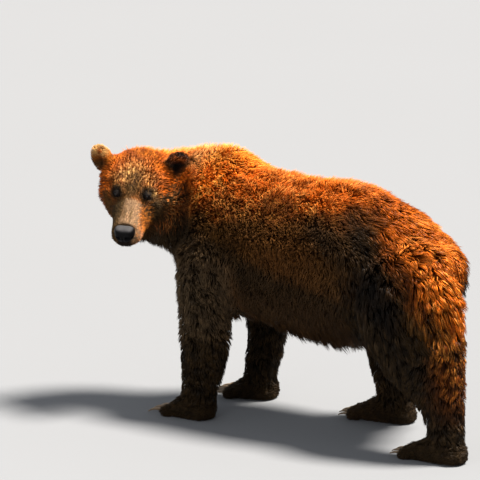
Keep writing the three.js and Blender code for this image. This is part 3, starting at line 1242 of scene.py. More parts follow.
    def muzzle(self, sites: Sites, fine: Array, dots: Array) -> Array:
        """A tan bridge between brown flanks, with a rosy upper lip at the front. The right flank is darker,
        partly its coat and partly painted shade, and each flank's outer side carries a painted shadow.

        Args:
            sites: Places on the skin.
            fine: Noise at each place.
            dots: Finer noise at each place.

        Returns:
            A colour for each place.
        """
        left, ahead, up = sites.face.T
        off_bridge = np.abs(left - 10 - 0.05 * (ahead - 190)) - 32 - 0.12 * (ahead - 190)
        patches = np.clip(0.6 * ease(0.0, 0.7, fine) + 0.5 * ease(0.1, 0.7, dots), 0, 1)
        streaks = bell(np.abs(left), 14, 6) * bell(ahead, 258, 30)
        # Painted shadow on each flank's outer side, away from the bridge.
        shaded_flank = ease(12, 24, off_bridge) * ease(-150, -110, up + 0.4 * (230 - ahead))
        flank = washed(
            self.brown,
            (self.bark, 0.7 * patches),
            # The right flank darkens: partly its coat and partly painted shade on the side away from the
            # light.
            (self.olive, 0.9 * ease(20, -20, left)),
            (self.umber, 0.75 * ease(10, -50, left)),
            (self.umber, 0.9 * shaded_flank),
            (self.rose, 0.6 * bell(up, -184, 22) * ease(262, 306, ahead) * ease(10, 30, left)),
        )
        bridge = washed(
            self.tan,
            (self.brown, 0.25 * patches),
            (self.olive, 0.8 * streaks + 0.5 * ease(290, 310, ahead) * ease(20, -20, left)),
        )
        return mingle(flank, bridge, ease(9, -9, off_bridge + 8 * fine) * ease(186, 200, ahead))

    def forehead(self, sites: Sites) -> Array:
        """1 on the forehead, 0 elsewhere."""
        left, ahead, up = sites.face.T
        return bell(left, -8, 88) * bell(ahead, 104, 56) * ease(-56, -24, up)

    def ears(self, sites: Sites, fine: Array) -> Array:
        """A cream rim and brown bowl on the right ear, the rim partly painted rim light, and a nearly black
        left ear, which is painted shade.

        Args:
            sites: Places on the skin.
            fine: Noise at each place.

        Returns:
            A colour for each place.
        """
        left, _, up = sites.face.T
        rim = ease(0, 44, up + 0.35 * (np.abs(left) - 172))
        behind = ease(0.1, 0.6, -(sites.normals @ sites.head.ahead))
        pale = washed(
            self.rust,
            (self.ginger, 0.7 * ease(-0.1, 0.6, fine)),
            # The cream rim is partly painted rim light.
            (self.blond, 0.9 * rim * ease(-0.8, 0.0, fine)),
            (self.umber, ease(26, -30, up) * 0.9),
        )
        # Painted shade: the left ear nearly black, with a rust rim and back.
        dark = washed(self.soot, (self.rust, 0.8 * rim * ease(-0.4, 0.3, fine)), (self.rust, 0.7 * behind))
        return mingle(pale, dark, ease(-50, 50, left))

    def tips(self, sites: Sites, base: Array, lock: Array, single: Array) -> Array:
        """The colour at the tips of the tufts.

        Args:
            sites: Where the tufts grow.
            base: Their colour over most of their length.
            lock: A random share from 0 to 1 that the tufts of one lock have in common.
            single: A random share from 0 to 1 for each tuft.

        Returns:
            A linear colour for each tuft.
        """
        y, z = sites.points[:, 1], sites.points[:, 2]
        left, ahead, up = sites.face.T
        group, parts = sites.group, sites.parts
        body = 1 - group["head"] - group["ear"]
        dry = body * ease(-0.02, 0.1, self.level(sites)) * ease(0.5, 0.1, y)
        # Painted highlights: orange, ginger and gold tips on the locks along the back of the rump and hind
        # legs, as in light from behind.
        rim_lit_rear = body * ease(-0.06, 0.09, y - 0.72 - 0.42 * (0.88 - z)) * ease(0.12, 0.35, z)
        lit = rim_lit_rear * ease(0.56, 0.66, 0.4 * lock + 0.6 * single)
        strokes = ease(0.5, 0.62, lock)
        under = (parts[Part.JAW] + group["neck"] * ease(60, 100, ahead)) * ease(-250, -200, up)
        ruff = (parts[Part.CHEEK] + 0.6 * under) * strokes
        edge = ease(100, 140, left) * ease(-92, -116, up)
        furrow = bell(left, 6, 30) * ease(70, 115, ahead)
        colour = washed(
            base,
            (self.gold, 0.34 * dry * ease(0.45, 1.0, single)),
            (self.fox, 0.34 * rim_lit_rear * ease(0.3, 0.6, 0.6 * lock + 0.4 * single)),
            (self.ginger, 0.75 * lit),
            (self.gold, 0.7 * lit * ease(0.5, 0.8, single)),
            (self.fox, 0.85 * ruff),
            (self.blond, 0.6 * ruff * edge * ease(0.3, 0.6, single)),
            (self.blond, 0.62 * (self.forehead(sites) * (1 - 0.9 * furrow)) * strokes),
            (self.ginger, 0.4 * (parts[Part.MUZZLE] * ease(20, 50, left) * strokes)),
        )
        # Tips keep the base colour in the fold, in the painted shadows and round the highlight over the left
        # eye.
        plain = bell(sites.round_left_eye, 20, 16) * ease(125, 140, ahead)
        plain += self.CHEEKBONE_SHADE.at(sites.face) + self.RUFF_SHADOW.at(sites.points)
        return mingle(colour, base, np.clip(sites.crease + plain + 0.8 * self.hip_shadow(sites), 0, 1))


# ---- The skin ----


@dataclass
class Skin:
    """One closed skin that replaces the nodes of flesh and lies inside them by the coat's depth.

    The coat's depth is at most a share of the body's thickness. The lids and the changes of depth at
    the neck's crease and at the nape are in millimetres.
    """

    head: HeadFrame
    nodes: dict[str, bpy.types.Object]
    voxel: float = 11.8 * MM
    grow: float = 2.5 * MM
    thickness_share: float = 0.36
    crease_sink: float = 20.0
    nape_rise: float = 24.0
    steps: int = 5
    ironing: int = 60
    lid: float = 1.7
    obj: bpy.types.Object = field(init=False)
    sites: Sites = field(init=False)

    def build(self, finish: SkinFinish, markings: Markings) -> bpy.types.Object:
        """Makes the skin, from the joined nodes to the lids and lips.

        Args:
            finish: Its finish.
            markings: The colours of the coat.

        Returns:
            The skin's object.
        """
        tree, groups, mesh = self.joined_flesh()
        mesh = self.remeshed(mesh)
        self.soften(mesh, tree, groups)
        self.refine(mesh, tree, groups)
        net = Neighbours(mesh)
        shares = self.shares_at(places_of(mesh), tree, groups)
        self.settle(mesh, net, tree, shares)
        shares = net.blurred(shares, 10)
        self.inset(mesh, net, shares)
        self.shape_toes(mesh, shares)
        self.shape_face(mesh, net)
        self.obj = new_object("skin", mesh)
        shade_smooth(mesh)
        self.sites = Sites(places_of(mesh), normals_of(mesh), shares, self.head)
        self.dress(finish, markings)
        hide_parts(*FLESH)
        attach(self.obj, BODY)
        return self.obj

    def dress(self, finish: SkinFinish, markings: Markings) -> None:
        """Gives the skin its markings and its material.

        Args:
            finish: Its finish.
            markings: The colours of the coat.
        """
        mesh = self.obj.data
        store(mesh, "coat", markings.over(self.sites))
        store(mesh, "bare", np.maximum(self.sites.sole, ease(4, 2, self.sites.eye_distance)))
        mesh.materials.append(finish.material())

    def joined_flesh(self) -> tuple[BVHTree, Array, bpy.types.Mesh]:
        """The nodes of flesh as one mesh, each a little larger so that the cuts between them close.

        Returns:
            A tree to look up the nearest face, the group of nodes each face belongs to, and the mesh.
        """
        whole = bmesh.new()
        groups = []
        for number, (group, names) in enumerate(NODE_GROUPS.items()):
            eyes = ["left_eye", "right_eye"] if group == "head" else []
            for name in names + eyes:
                piece = bmesh.new()
                piece.from_mesh(self.nodes[name].data)
                bmesh.ops.remove_doubles(piece, verts=piece.verts, dist=1e-5)
                piece.normal_update()
                for point in piece.verts:
                    point.co += point.normal * self.grow
                made = bpy.data.meshes.new("piece")
                piece.to_mesh(made)
                whole.from_mesh(made)
                groups += [number] * len(piece.faces)
                piece.free()
        tree = BVHTree.FromBMesh(whole)
        mesh = bpy.data.meshes.new("skin")
        whole.to_mesh(mesh)
        whole.free()
        return tree, np.array(groups), mesh

    def remeshed(self, mesh: bpy.types.Mesh) -> bpy.types.Mesh:
        """One even net of squares over a mesh, without anything loose inside it.

        Args:
            mesh: The mesh.

        Returns:
            The net.
        """
        thing = new_object("remesh", mesh)
        change = thing.modifiers.new("even", "REMESH")
        change.mode = "VOXEL"
        change.voxel_size = self.voxel
        view = bpy.context.evaluated_depsgraph_get()
        made = bpy.data.meshes.new_from_object(thing.evaluated_get(view))
        bpy.data.objects.remove(thing)
        label = self.labels(Neighbours(made))
        work = bmesh.new()
        work.from_mesh(made)
        work.verts.ensure_lookup_table()
        loose = [work.verts[i] for i in np.flatnonzero(label != np.bincount(label).argmax())]
        bmesh.ops.delete(work, geom=loose, context="VERTS")
        work.to_mesh(made)
        work.free()
        return made

    @staticmethod
    def labels(net: Neighbours) -> Array:
        """Which points of a net hang together.

        Args:
            net: The net.

        Returns:
            A number for each point, the same for all points that hang together.
        """
        label = np.arange(net.size)
        while True:
            low = label.copy()
            np.minimum.at(low, net.one, label[net.other])
            low = low[low]
            if (low == label).all():
                return label
            label = low

    def shares_at(self, points: Array, tree: BVHTree, groups: Array) -> Array:
        """The group of nodes that each place belongs to.

        Args:
            points: The places.
            tree: The faces of the nodes.
            groups: The group that each face belongs to.

        Returns:
            A column for each group, 1 for the group whose face is nearest and 0 for the others.
        """
        nearest = [tree.find_nearest(Vector(point))[2] for point in points]
        shares = np.zeros((len(points), len(NODE_GROUPS)))
        shares[np.arange(len(points)), groups[nearest]] = 1.0
        return shares

    def refine(self, mesh: bpy.types.Mesh, tree: BVHTree, groups: Array) -> None:
        """Splits the faces of the head, ears and paws, then those round the eyes and lips.

        Args:
            mesh: The skin's mesh.
            tree: The faces of the nodes.
            groups: The group that each face belongs to.
        """

        def on_head_or_paw(points: Array) -> Array:
            """Whether each point lies on a head, ear or paw."""
            return columns(self.shares_at(points, tree, groups), "head", "ear", "paw") > 0

        def near_lips_or_eyes(points: Array) -> Array:
            """Whether each point is near the mouth or an eye.

            Args:
                points: The points.

            Returns:
                True or False for each.
            """
            left, ahead, up = self.head.to_face(points).T
            lips = (ahead > 200) & (ahead < 400) & (np.abs(left) < 90) & (up < -150) & (up > -260)
            return self.eyes_within(points, 46) | lips

        def at_eyes(points: Array) -> Array:
            """Whether each point is at an eye."""
            return self.eyes_within(points, 27)

        for chosen in (on_head_or_paw, near_lips_or_eyes, at_eyes):
            work = bmesh.new()
            work.from_mesh(mesh)
            work.edges.ensure_lookup_table()
            inside = chosen(np.array([v.co[:] for v in work.verts]))
            ends = [[v.index for v in edge.verts] for edge in work.edges]
            picked = inside[np.array(ends)].all(axis=1)
            edges = [work.edges[i] for i in np.flatnonzero(picked)]
            bmesh.ops.subdivide_edges(work, edges=edges, cuts=1, use_grid_fill=True, smooth=0.6)
            work.to_mesh(mesh)
            work.free()
            mesh.update()

    def eyes_within(self, points: Array, reach: float) -> Array:
        """Whether each point is within reach of an eye, in millimetres."""
        face = self.head.to_face(points)
        return np.any([np.linalg.norm(face - socket.centre, axis=1) < reach for socket in SOCKETS], axis=0)

    def soften(self, mesh: bpy.types.Mesh, tree: BVHTree, groups: Array) -> None:
        """Evens out the facets and folds of the solids, least on the face, ears and paws.

        Args:
            mesh: The skin's mesh.
            tree: The faces of the nodes.
            groups: The group that each face belongs to.
        """
        net = Neighbours(mesh)
        places = places_of(mesh)
        shares = self.shares_at(places, tree, groups)
        face = columns(shares, "head") * ease(30, 80, self.head.to_face(places)[:, 1])
        detail = net.blurred(columns(shares, "paw", "ear") + face, 6)
        even = net.smoothed(places, 12)
        move_points(mesh, mingle(net.smoothed(even, 50), even, detail))

    def thickness(self, mesh: bpy.types.Mesh) -> Array:
        """How far it is through the body from each point of a mesh.

        Args:
            mesh: The mesh.

        Returns:
            Metres, at most 1.
        """
        work = bmesh.new()
        work.from_mesh(mesh)
        tree = BVHTree.FromBMesh(work)
        work.free()
        through = np.ones(len(mesh.vertices))
        for number, (place, normal) in enumerate(zip(places_of(mesh), normals_of(mesh))):
            inward = Vector(-normal)
            distance = tree.ray_cast(Vector(place) + inward * MM, inward, 1.0)[3]
            through[number] = distance or 1.0
        return through

    def settle(self, mesh: bpy.types.Mesh, net: Neighbours, tree: BVHTree, shares: Array) -> None:
        """Lays the paws and ears back on the solids, so that the toes show.

        Args:
            mesh: The skin's mesh.
            net: Its neighbours.
            tree: The faces of the nodes.
            shares: The group of nodes that each point belongs to.
        """
        places = places_of(mesh)
        for number in np.flatnonzero(columns(shares, "paw", "ear") > 0):
            places[number] = tree.find_nearest(Vector(places[number]))[0]
        move_points(mesh, net.smoothed(places, 3))

    def inset(self, mesh: bpy.types.Mesh, net: Neighbours, shares: Array) -> None:
        """Draws the skin in from the tips of the coat by the coat's depth, and irons the neck's seam flat.

        Args:
            mesh: The skin's mesh.
            net: Its neighbours.
            shares: How much each point belongs to each group of nodes.
        """
        start = Sites(places_of(mesh), normals_of(mesh), shares, self.head)
        depth = start.lay("depth") + self.crease_sink * start.crease
        depth -= self.nape_rise * start.nape * (1 - start.group["ear"])
        depth = depth * (1 - start.sole) * MM + self.grow
        depth = net.blurred(np.minimum(depth, self.thickness(mesh) * self.thickness_share), 6)
        detail = ease(0.026, 0.012, depth)
        for _ in range(self.steps):
            normals = normals_of(mesh)
            ways = mingle(net.blurred(normals, 26), net.blurred(normals, 5), detail)
            places = places_of(mesh) - ways * (depth / self.steps)[:, None]
            move_points(mesh, places + (net.mean(places) - places) * 0.3)
        seam = net.blurred(columns(shares, "neck") * columns(shares, "trunk"), 14)
        seam = np.clip(9 * seam, 0, 1)[:, None]
        places = places_of(mesh)
        for _ in range(self.ironing):
            places = places + (net.mean(places) - places) * 0.7 * seam
        move_points(mesh, places)

    def shape_toes(self, mesh: bpy.types.Mesh, shares: Array) -> None:
        """Raises a toe behind each claw and sinks the skin between the toes.

        Args:
            mesh: The skin's mesh.
            shares: How much each point belongs to each group of nodes.
        """
        places, normals = places_of(mesh), normals_of(mesh)
        paw = columns(shares, "paw") * ease(-0.5, 0.1, normals[:, 2])
        push = np.zeros(len(places))
        for claw in CLAWS:
            low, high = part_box(claw)
            beside = (places[:, 0] - (low[0] + high[0]) / 2) / MM
            behind = (places[:, 1] - high[1]) / MM
            near = ease(-26, -8, behind) * ease(74, 30, behind) * (np.abs(behind) < 90)
            push += near * (6.5 * bell(beside, 0, 12) - 4.0 * bell(np.abs(beside), 19.8, 6))
        move_points(mesh, places + normals * (push * paw * MM)[:, None])

    def shape_face(self, mesh: bpy.types.Mesh, net: Neighbours) -> None:
        """Adds brows, cheekbones, lips, the seat of the nose and the lids to the head.

        Args:
            mesh: The skin's mesh.
            net: Its neighbours.
        """
        places = places_of(mesh)
        normals = normals_of(mesh)
        left, ahead, up = self.head.to_face(places).T
        side = np.abs(left)
        front = ease(60, 110, ahead) * ease(300, 240, side)
        brow = 8.0 * bell(side, 64, 26) * bell(ahead, 142, 22) * bell(up, -26, 24)
        cheekbone = 5.0 * bell(side, 98, 22) * bell(ahead, 150, 30) * bell(up, -96, 22)
        hollow = -5.0 * bell(side, 50, 15) * bell(ahead, 196, 22) * bell(up, -72, 26)
        furrow = -4.0 * bell(side, 0, 10) * bell(ahead, 140, 40) * ease(-80, -30, up)
        mouth = -207 + 0.10 * (ahead - 300) + 10 * bell(ahead, 214, 22)
        on_muzzle = ease(204, 222, ahead) * ease(100, 88, side)
        groove = -6.0 * bell(up - mouth, 0, 3.6) * on_muzzle
        upper_lip = 4.5 * bell(up - mouth, 12, 9.0) * on_muzzle
        pads = 4.0 * bell(side, 50, 20) * bell(ahead, 300, 30) * bell(up, -172, 24)
        push = (brow + cheekbone + hollow + furrow) * front + groove + upper_lip + pads
        places = net.smoothed(places + normals * (push * MM)[:, None], 2)
        face = self.head.to_face(places)
        seat = ease(296, 330, ahead) * ease(60, 48, side) * ease(-202, -190, up)
        face[:, 1] -= 11.0 * seat
        philtrum = bell(left, 0, 3.0) * ease(330, 344, ahead) * ease(-178, -190, up) * ease(-216, -206, up)
        face[:, 1] -= 3.0 * philtrum
        for socket in SOCKETS:
            self.shape_lids(face, socket)
        move_points(mesh, self.head.to_body(face))

    def shape_lids(self, face: Array, socket: Socket) -> None:
        """Wraps the skin round one eyeball and opens it between the lids.

        Args:
            face: The skin's points in the head's axes, changed in place.
            socket: The eye's socket.
        """
        local = socket.local(face)
        outwards, upright, high = local.T
        reach = np.hypot(outwards, upright)
        near = (reach < 36) & (high > -30) & (high < 40)
        shell = socket.radius + self.lid
        over = np.sqrt(np.clip(shell**2 - (0.86 * reach) ** 2, 0, None))
        lifted = high + (np.maximum(over, high) - high) * ease(27, 11, reach)
        edge = socket.edge(outwards, upright)
        lifted = lifted + 1.1 * bell(edge, 2.0, 1.8) - 1.6 * bell(edge, 7.0, 2.2) * (upright > 0)
        sunk = np.sqrt(np.clip((socket.radius - 2.5) ** 2 - reach**2, 0, None))
        lifted = lifted + (sunk - lifted) * ease(0.5, -0.9, edge)
        local[:, 2] = np.where(near, lifted, high)
        face[:] = local @ socket.axes + socket.centre


def unwrapped(mesh: bpy.types.Mesh) -> Array:
    """A flat map of a mesh's own shape, laid out with no overlap.

    Args:
        mesh: The mesh, left as it is.

    Returns:
        A place for every corner of every face.
    """
    thing = new_object("unwrap", mesh.copy())
    thing.data.uv_layers.new(name="flat")
    bpy.context.view_layer.objects.active = thing
    thing.select_set(True)
    bpy.ops.object.mode_set(mode="EDIT")
    bpy.ops.mesh.select_all(action="SELECT")
    bpy.ops.uv.smart_project(angle_limit=math.radians(66), island_margin=0.001)
    bpy.ops.object.mode_set(mode="OBJECT")
    places = read(thing.data.uv_layers["flat"].data, "uv", np.float32, 2)
    bpy.data.objects.remove(thing)
    return places


# ---- The coat ----


@dataclass
class Roots:
    """Where tufts grow, and each one's place on the skin's flat map."""

    sites: Sites
    spot: Array

    def part(self, chosen: Array) -> "Roots":
        """Some of the roots.

        Args:
            chosen: Whether each root is one of them.

        Returns:
            Those roots.
        """
        sites = self.sites
        picked = Sites(sites.points[chosen], sites.normals[chosen], sites.shares[chosen], sites.head)
        return Roots(picked, self.spot[chosen])


class Sower:
    """Spreads roots evenly over the skin."""

    CELL = 12 * MM
    BITS = 10

    def __init__(self, skin: Skin) -> None:
        """Unwraps the skin and puts its triangles in order.

        Args:
            skin: The skin, which keeps the flat map.
        """
        mesh = skin.obj.data
        mesh.calc_loop_triangles()
        self.sites = skin.sites
        self.corners = read(mesh.loop_triangles, "vertices", np.int32, 3)
        flat = unwrapped(mesh)
        store_map(mesh, flat)
        self.flat = flat[read(mesh.loop_triangles, "loops", np.int32, 3)]
        places = places_of(mesh)
        a, b, c = (places[self.corners[:, i]] for i in range(3))
        self.area = np.linalg.norm(np.cross(b - a, c - a), axis=1) / 2
        self.order = self.near_order((a + b + c) / 3)

    def near_order(self, middles: Array) -> Array:
        """An order of the triangles in which neighbours follow each other.

        Args:
            middles: The middle of each triangle.

        Returns:
            The triangles' numbers in that order.
        """
        cell = np.clip(((middles - middles.min(0)) / self.CELL).astype(np.int64), 0, 2**self.BITS - 1)
        code = np.zeros(len(cell), np.int64)
        for bit in range(self.BITS):
            for axis in range(3):
                code |= ((cell[:, axis] >> bit) & 1) << (3 * bit + axis)
        return np.argsort(code, kind="stable")

    def density(self) -> Array:
        """Tufts for each square metre at each point of the skin: none on the soles and the eyelids."""
        covered = (1 - self.sites.sole) * ease(3.0, 5.0, self.sites.eye_distance)
        return 1 / (self.sites.lay("spacing") * MM) ** 2 * covered

    def sow(self, seed: int) -> Roots:
        """Roots all over the skin.

        Args:
            seed: The random seed.

        Returns:
            The roots.
        """
        random = np.random.default_rng(seed)
        wanted = self.density()[self.corners].mean(axis=1) * self.area
        total = np.cumsum(wanted[self.order])
        count = int(total[-1])
        drawn = (np.arange(count) + random.uniform(0, 1, count)) * (total[-1] / count)
        face = self.order[np.minimum(np.searchsorted(total, drawn), len(total) - 1)]
        first, second = random.uniform(0, 1, (2, count))
        flip = first + second > 1
        first[flip], second[flip] = 1 - first[flip], 1 - second[flip]
        weight = np.stack([1 - first - second, first, second], axis=1)[:, :, None]
        corners = self.corners[face]
        points = (self.sites.points[corners] * weight).sum(1)
        normals = unit((self.sites.normals[corners] * weight).sum(1))
        shares = (self.sites.shares[corners] * weight).sum(1)
        return Roots(Sites(points, normals, shares, self.sites.head), (self.flat[face] * weight).sum(1))


PRIMES = np.array([73856093, 19349663, 83492791])


def leaders(points: Array, spacing: float, random: np.random.Generator) -> Array:
    """For each point, the point that its lock draws towards.

    Args:
        points: The roots.
        spacing: Distance between locks, in metres.
        random: Random numbers.

    Returns:
        The number of the leading point for each point.
    """
    shuffled = random.permutation(len(points))
    cell = np.floor(points[shuffled] / spacing + random.uniform(0, 1, 3)).astype(np.int64)
    code = cell @ PRIMES
    first = shuffled[np.unique(code, return_index=True)[1]]
    tree = KDTree(len(first))
    for number in first:
        tree.insert(points[number], int(number))
    tree.balance()
    return np.array([tree.find(point)[1] for point in points])


@dataclass
class Tufts:
    """Tufts of hair, a row for each: its line from root to tip, how it lies, its widths and its colours."""

    spine: Array
    flow: Array
    normals: Array
    width: Array
    colour: Array
    wet: Array
    spot: Array

    def every(self, step: int, first: int) -> "Tufts":
        """Every so many tufts, from a first one."""
        return Tufts(*(getattr(self, item.name)[first::step] for item in fields(self)))


@dataclass
class Coat:
    """Tufts of hair as closed spikes of three sides that lie along the skin."""

    name: str
    rings: int
    pieces: int
    seed: int
    sink: float = 1.5 * MM
    clearance: float = 1.5 * MM
    large_lock: float = 34 * MM
    small_lock: float = 14 * MM
    lock_edge: float = 19 * MM
    patch: float = 0.003
    large: Array = field(init=False)
    small: Array = field(init=False)

    SECTION = np.array([[-0.5, 0.0], [0.5, 0.0], [0.0, 0.55]])

    def build(self, roots: Roots, markings: Markings, material: bpy.types.Material) -> list[bpy.types.Object]:
        """Grows the tufts.

        Args:
            roots: Where they grow.
            markings: Their colours.
            material: Their material.

        Returns:
            The pieces of coat.
        """
        random = np.random.default_rng(self.seed)
        sites = roots.sites
        flow = self.flow(sites, random)
        tufts = Tufts(
            spine=self.locked(sites, self.lines(sites, flow, random), random),
            flow=flow,
            normals=sites.normals,
            width=self.widths(sites, random),
            colour=self.colours(sites, markings, random),
            wet=sites.lay("wet"),
            spot=roots.spot,
        )
        return [
            self.piece(f"{self.name}_{number + 1}", tufts.every(self.pieces, number), material)
            for number in range(self.pieces)
        ]

    def flow(self, sites: Sites, random: np.random.Generator) -> Array:
        """The direction in which each tuft lies along the skin.

        Args:
            sites: Where the tufts grow.
            random: Random numbers.

        Returns:
            The directions.
        """
        drift = Noise(self.seed + 1, 0.13, 3).at(sites.points) * 0.35
        drift += Noise(self.seed + 2, 0.045, 3).at(sites.points) * (0.12 + 2.4 * sites.lay("wave"))[:, None]
        drift += random.normal(0, 1, drift.shape) * sites.lay("frizz")[:, None]
        return across(sites.flow + drift, sites.normals)

    def lines(self, sites: Sites, flow: Array, random: np.random.Generator) -> Array:
        """The line of each tuft before locks form: up and over along the skin, bent and hanging a little.

        Args:
            sites: Where the tufts grow.
            flow: The direction in which each lies.
            random: Random numbers.

        Returns:
            The places from root to tip for each tuft.
        """
        count = len(flow)
        normals = sites.normals
        length = sites.lay("length") * MM * random.uniform(0.72, 1.15, count)
        length *= (1 + 0.16 * Noise(self.seed + 3, 0.05).at(sites.points)) * (1 - 0.5 * sites.crease)
        height = sites.lay("height") * MM * random.uniform(0.78, 1.18, count) * (1 - 0.75 * sites.crease)
        height *= 1 + 0.12 * Noise(self.seed + 4, 0.045).at(sites.points) + 0.8 * sites.ear_rim
        along = np.sqrt(np.maximum(length**2 - height**2, (0.35 * length) ** 2))
        side = np.cross(normals, flow)
        bend = random.normal(0, 0.08, count) * length
        hang = sites.lay("hang") * length * random.uniform(0.4, 1.2, count)
        places = []
        for share in self.steps():
            rise = 1.7 * share - 0.7 * share**2
            places.append(
                sites.points
                - normals * self.sink
                + flow * (along * share**1.25)[:, None]
                + normals * (height * rise)[:, None]
                + side * (bend * share**2)[:, None]
                + np.outer(-hang * share**1.5, [0.0, 0.0, 1.0])
            )
        return np.stack(places, axis=1)

    def steps(self) -> Array:
        """How far each ring and the tip are along a tuft, from 0 to 1."""
        return np.linspace(0, 1, self.rings + 1)

    def locked(self, sites: Sites, lines: Array, random: np.random.Generator) -> Array:
        """The tufts drawn together into locks towards their tips, and kept off the floor.

        Args:
            sites: Where the tufts grow.
            lines: Their places from root to tip.
            random: Random numbers.

        Returns:
            The new places.
        """
        lock = sites.lay("lock")
        pull = self.steps()[None, :, None] ** 1.2
        self.large = leaders(sites.points, self.large_lock, random)
        lines = lines + (lines[self.large] - lines) * (0.78 * sites.lay("wet") * lock)[:, None, None] * pull
        closer = 1 + 0.6 * (sites.group["head"] + sites.group["ear"])
        self.small = leaders(sites.points * closer[:, None], self.small_lock, random)
        lines = lines + (lines[self.small] - lines) * (0.75 * lock)[:, None, None] * pull
        lines[:, :, 2] = np.maximum(lines[:, :, 2], self.clearance)
        return lines

    def widths(self, sites: Sites, random: np.random.Generator) -> Array:
        """The width of each tuft at each of its rings.

        Args:
            sites: Where the tufts grow.
            random: Random numbers.

        Returns:
            A row of widths for each tuft.
        """
        share = self.steps()[:-1]
        profile = np.where(share < 0.05, 0.8, (1 - share) ** 0.45 * 1.05)
        width = sites.lay("width") * MM * random.uniform(0.7, 1.3, len(sites.points))
        return width[:, None] * profile[None, :]

    def colours(self, sites: Sites, markings: Markings, random: np.random.Generator) -> Array:
        """The colours along each tuft.

        Roots are dark. In wet coat each lock has a tone of its own, bright at its tip and dark at its edge,
        which is painted shade in the gaps between the locks.

        Args:
            sites: Where the tufts grow.
            markings: The colours of the coat.
            random: Random numbers.

        Returns:
            A colour for each ring and the tip of each tuft.
        """
        count = len(sites.points)
        base = markings.over(sites)
        large, small, single = random.uniform(0, 1, (3, count))
        large, small = large[self.large], small[self.small]
        tip = markings.tips(sites, base, small, single)
        apart = np.linalg.norm(sites.points - sites.points[self.large], axis=1) / self.lock_edge
        shade = random.normal(0, 0.16, count) + (0.42 + 0.4 * sites.group["head"]) * (small - 0.5)
        soak = sites.lay("wet") * (1 - 0.75 * ease(0.0, 0.14, markings.level(sites)))
        # Wet locks darken towards their edges: painted shade in the gaps between them.
        shade += soak * (0.9 * (large - 0.5) - 0.75 * np.clip(apart, 0, 1.3) ** 2 + 0.30)
        share = self.steps()[None, :, None]
        along = base[:, None, :] + (tip - base)[:, None, :] * np.minimum(1.6 * share, 1.0)
        root = (0.66 - 0.34 * soak)[:, None, None]
        dark = root + (1.1 - root) * share
        return along * dark * np.exp(shade)[:, None, None]

    def piece(self, name: str, tufts: Tufts, material: bpy.types.Material) -> bpy.types.Object:
        """One joined mesh of tufts.

        Args:
            name: The piece's name.
            tufts: Its tufts.
            material: Its material.

        Returns:
            The piece.
        """
        count = len(tufts.spine)
        side = np.cross(tufts.flow, tufts.normals)
        section = self.SECTION[:, :1] * side[:, None] + self.SECTION[:, 1:] * tufts.normals[:, None]
        ring = tufts.spine[:, :-1, None] + tufts.width[:, :, None, None] * section[:, None]
        points = np.concatenate([ring.reshape(count, -1, 3), tufts.spine[:, -1:]], axis=1)
        each = points.shape[1]
        faces = (self.faces()[None] + (np.arange(count) * each)[:, None, None]).reshape(-1, 3)
        mesh = new_mesh(name, points.reshape(-1, 3), faces)
        level = np.minimum(np.arange(each) // 3, self.rings)
        store(mesh, "coat", tufts.colour[:, level].reshape(-1, 3))
        store(mesh, "wet", np.repeat(tufts.wet, each))
        store_map(mesh, self.patches(tufts.spot, level)[faces.ravel()])
        mesh.materials.append(material)
        thing = new_object(name, mesh)
        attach(thing, BODY)
        return thing

    def patches(self, spot: Array, level: Array) -> Array:
        """Each tuft's own small patch of the flat map, round its root's place there.

        Args:
            spot: The root's place on the map for each tuft.
            level: The ring that each point of a tuft belongs to.

        Returns:
            A place on the map for every point of every tuft.
        """
        offset = np.stack([(np.arange(len(level)) % 3 - 1) * 0.5, level / self.rings - 0.5], axis=1)
        offset[-1, 0] = 0.0
        return np.clip((spot[:, None] + offset * self.patch).reshape(-1, 2), 0, 1)

    def faces(self) -> Array:
        """The triangles of one tuft, facing outwards.

        Returns:
            Three point numbers for each.
        """
        sides = ((0, 1), (1, 2), (2, 0))
        made = [(0, 1, 2)]
        for low in range(0, 3 * self.rings - 3, 3):
            high = low + 3
            for one, two in sides:
                made += [(low + one, high + one, high + two), (low + one, high + two, low + two)]
        tip = 3 * self.rings
        made += [(tip - 3 + one, tip, tip - 3 + two) for one, two in sides]
        return np.array(made)


# ---- Eyes, nose and claws ----


def ball(around: int, rings: int) -> tuple[Array, Array]:
    """A round ball with its poles on the second axis.

    Args:
        around: How many points a ring has.
        rings: How many steps there are from pole to pole.

    Returns:
        Its points at length 1 and its triangles, which face outwards in the head's axes.
    """
    turn = np.linspace(0, 2 * math.pi, around, endpoint=False)
    tilt = np.linspace(0, math.pi, rings + 1)[1:-1]
    tilt, turn = np.meshgrid(tilt, turn, indexing="ij")
    points = np.stack([np.sin(tilt) * np.cos(turn), np.cos(tilt), np.sin(tilt) * np.sin(turn)], axis=-1)
    front, back = tilt.size, tilt.size + 1
    last = front - around
    faces = []
    for i in range(around):
        j = (i + 1) % around
        faces += [(front, i, j), (back, last + j, last + i)]
        for low in range(0, last, around):
            high = low + around
            faces += [(low + i, high + j, low + j), (low + i, high + i, high + j)]
    poles = [[0.0, 1.0, 0.0], [0.0, -1.0, 0.0]]
    return np.concatenate([points.reshape(-1, 3), poles]), np.array(faces)


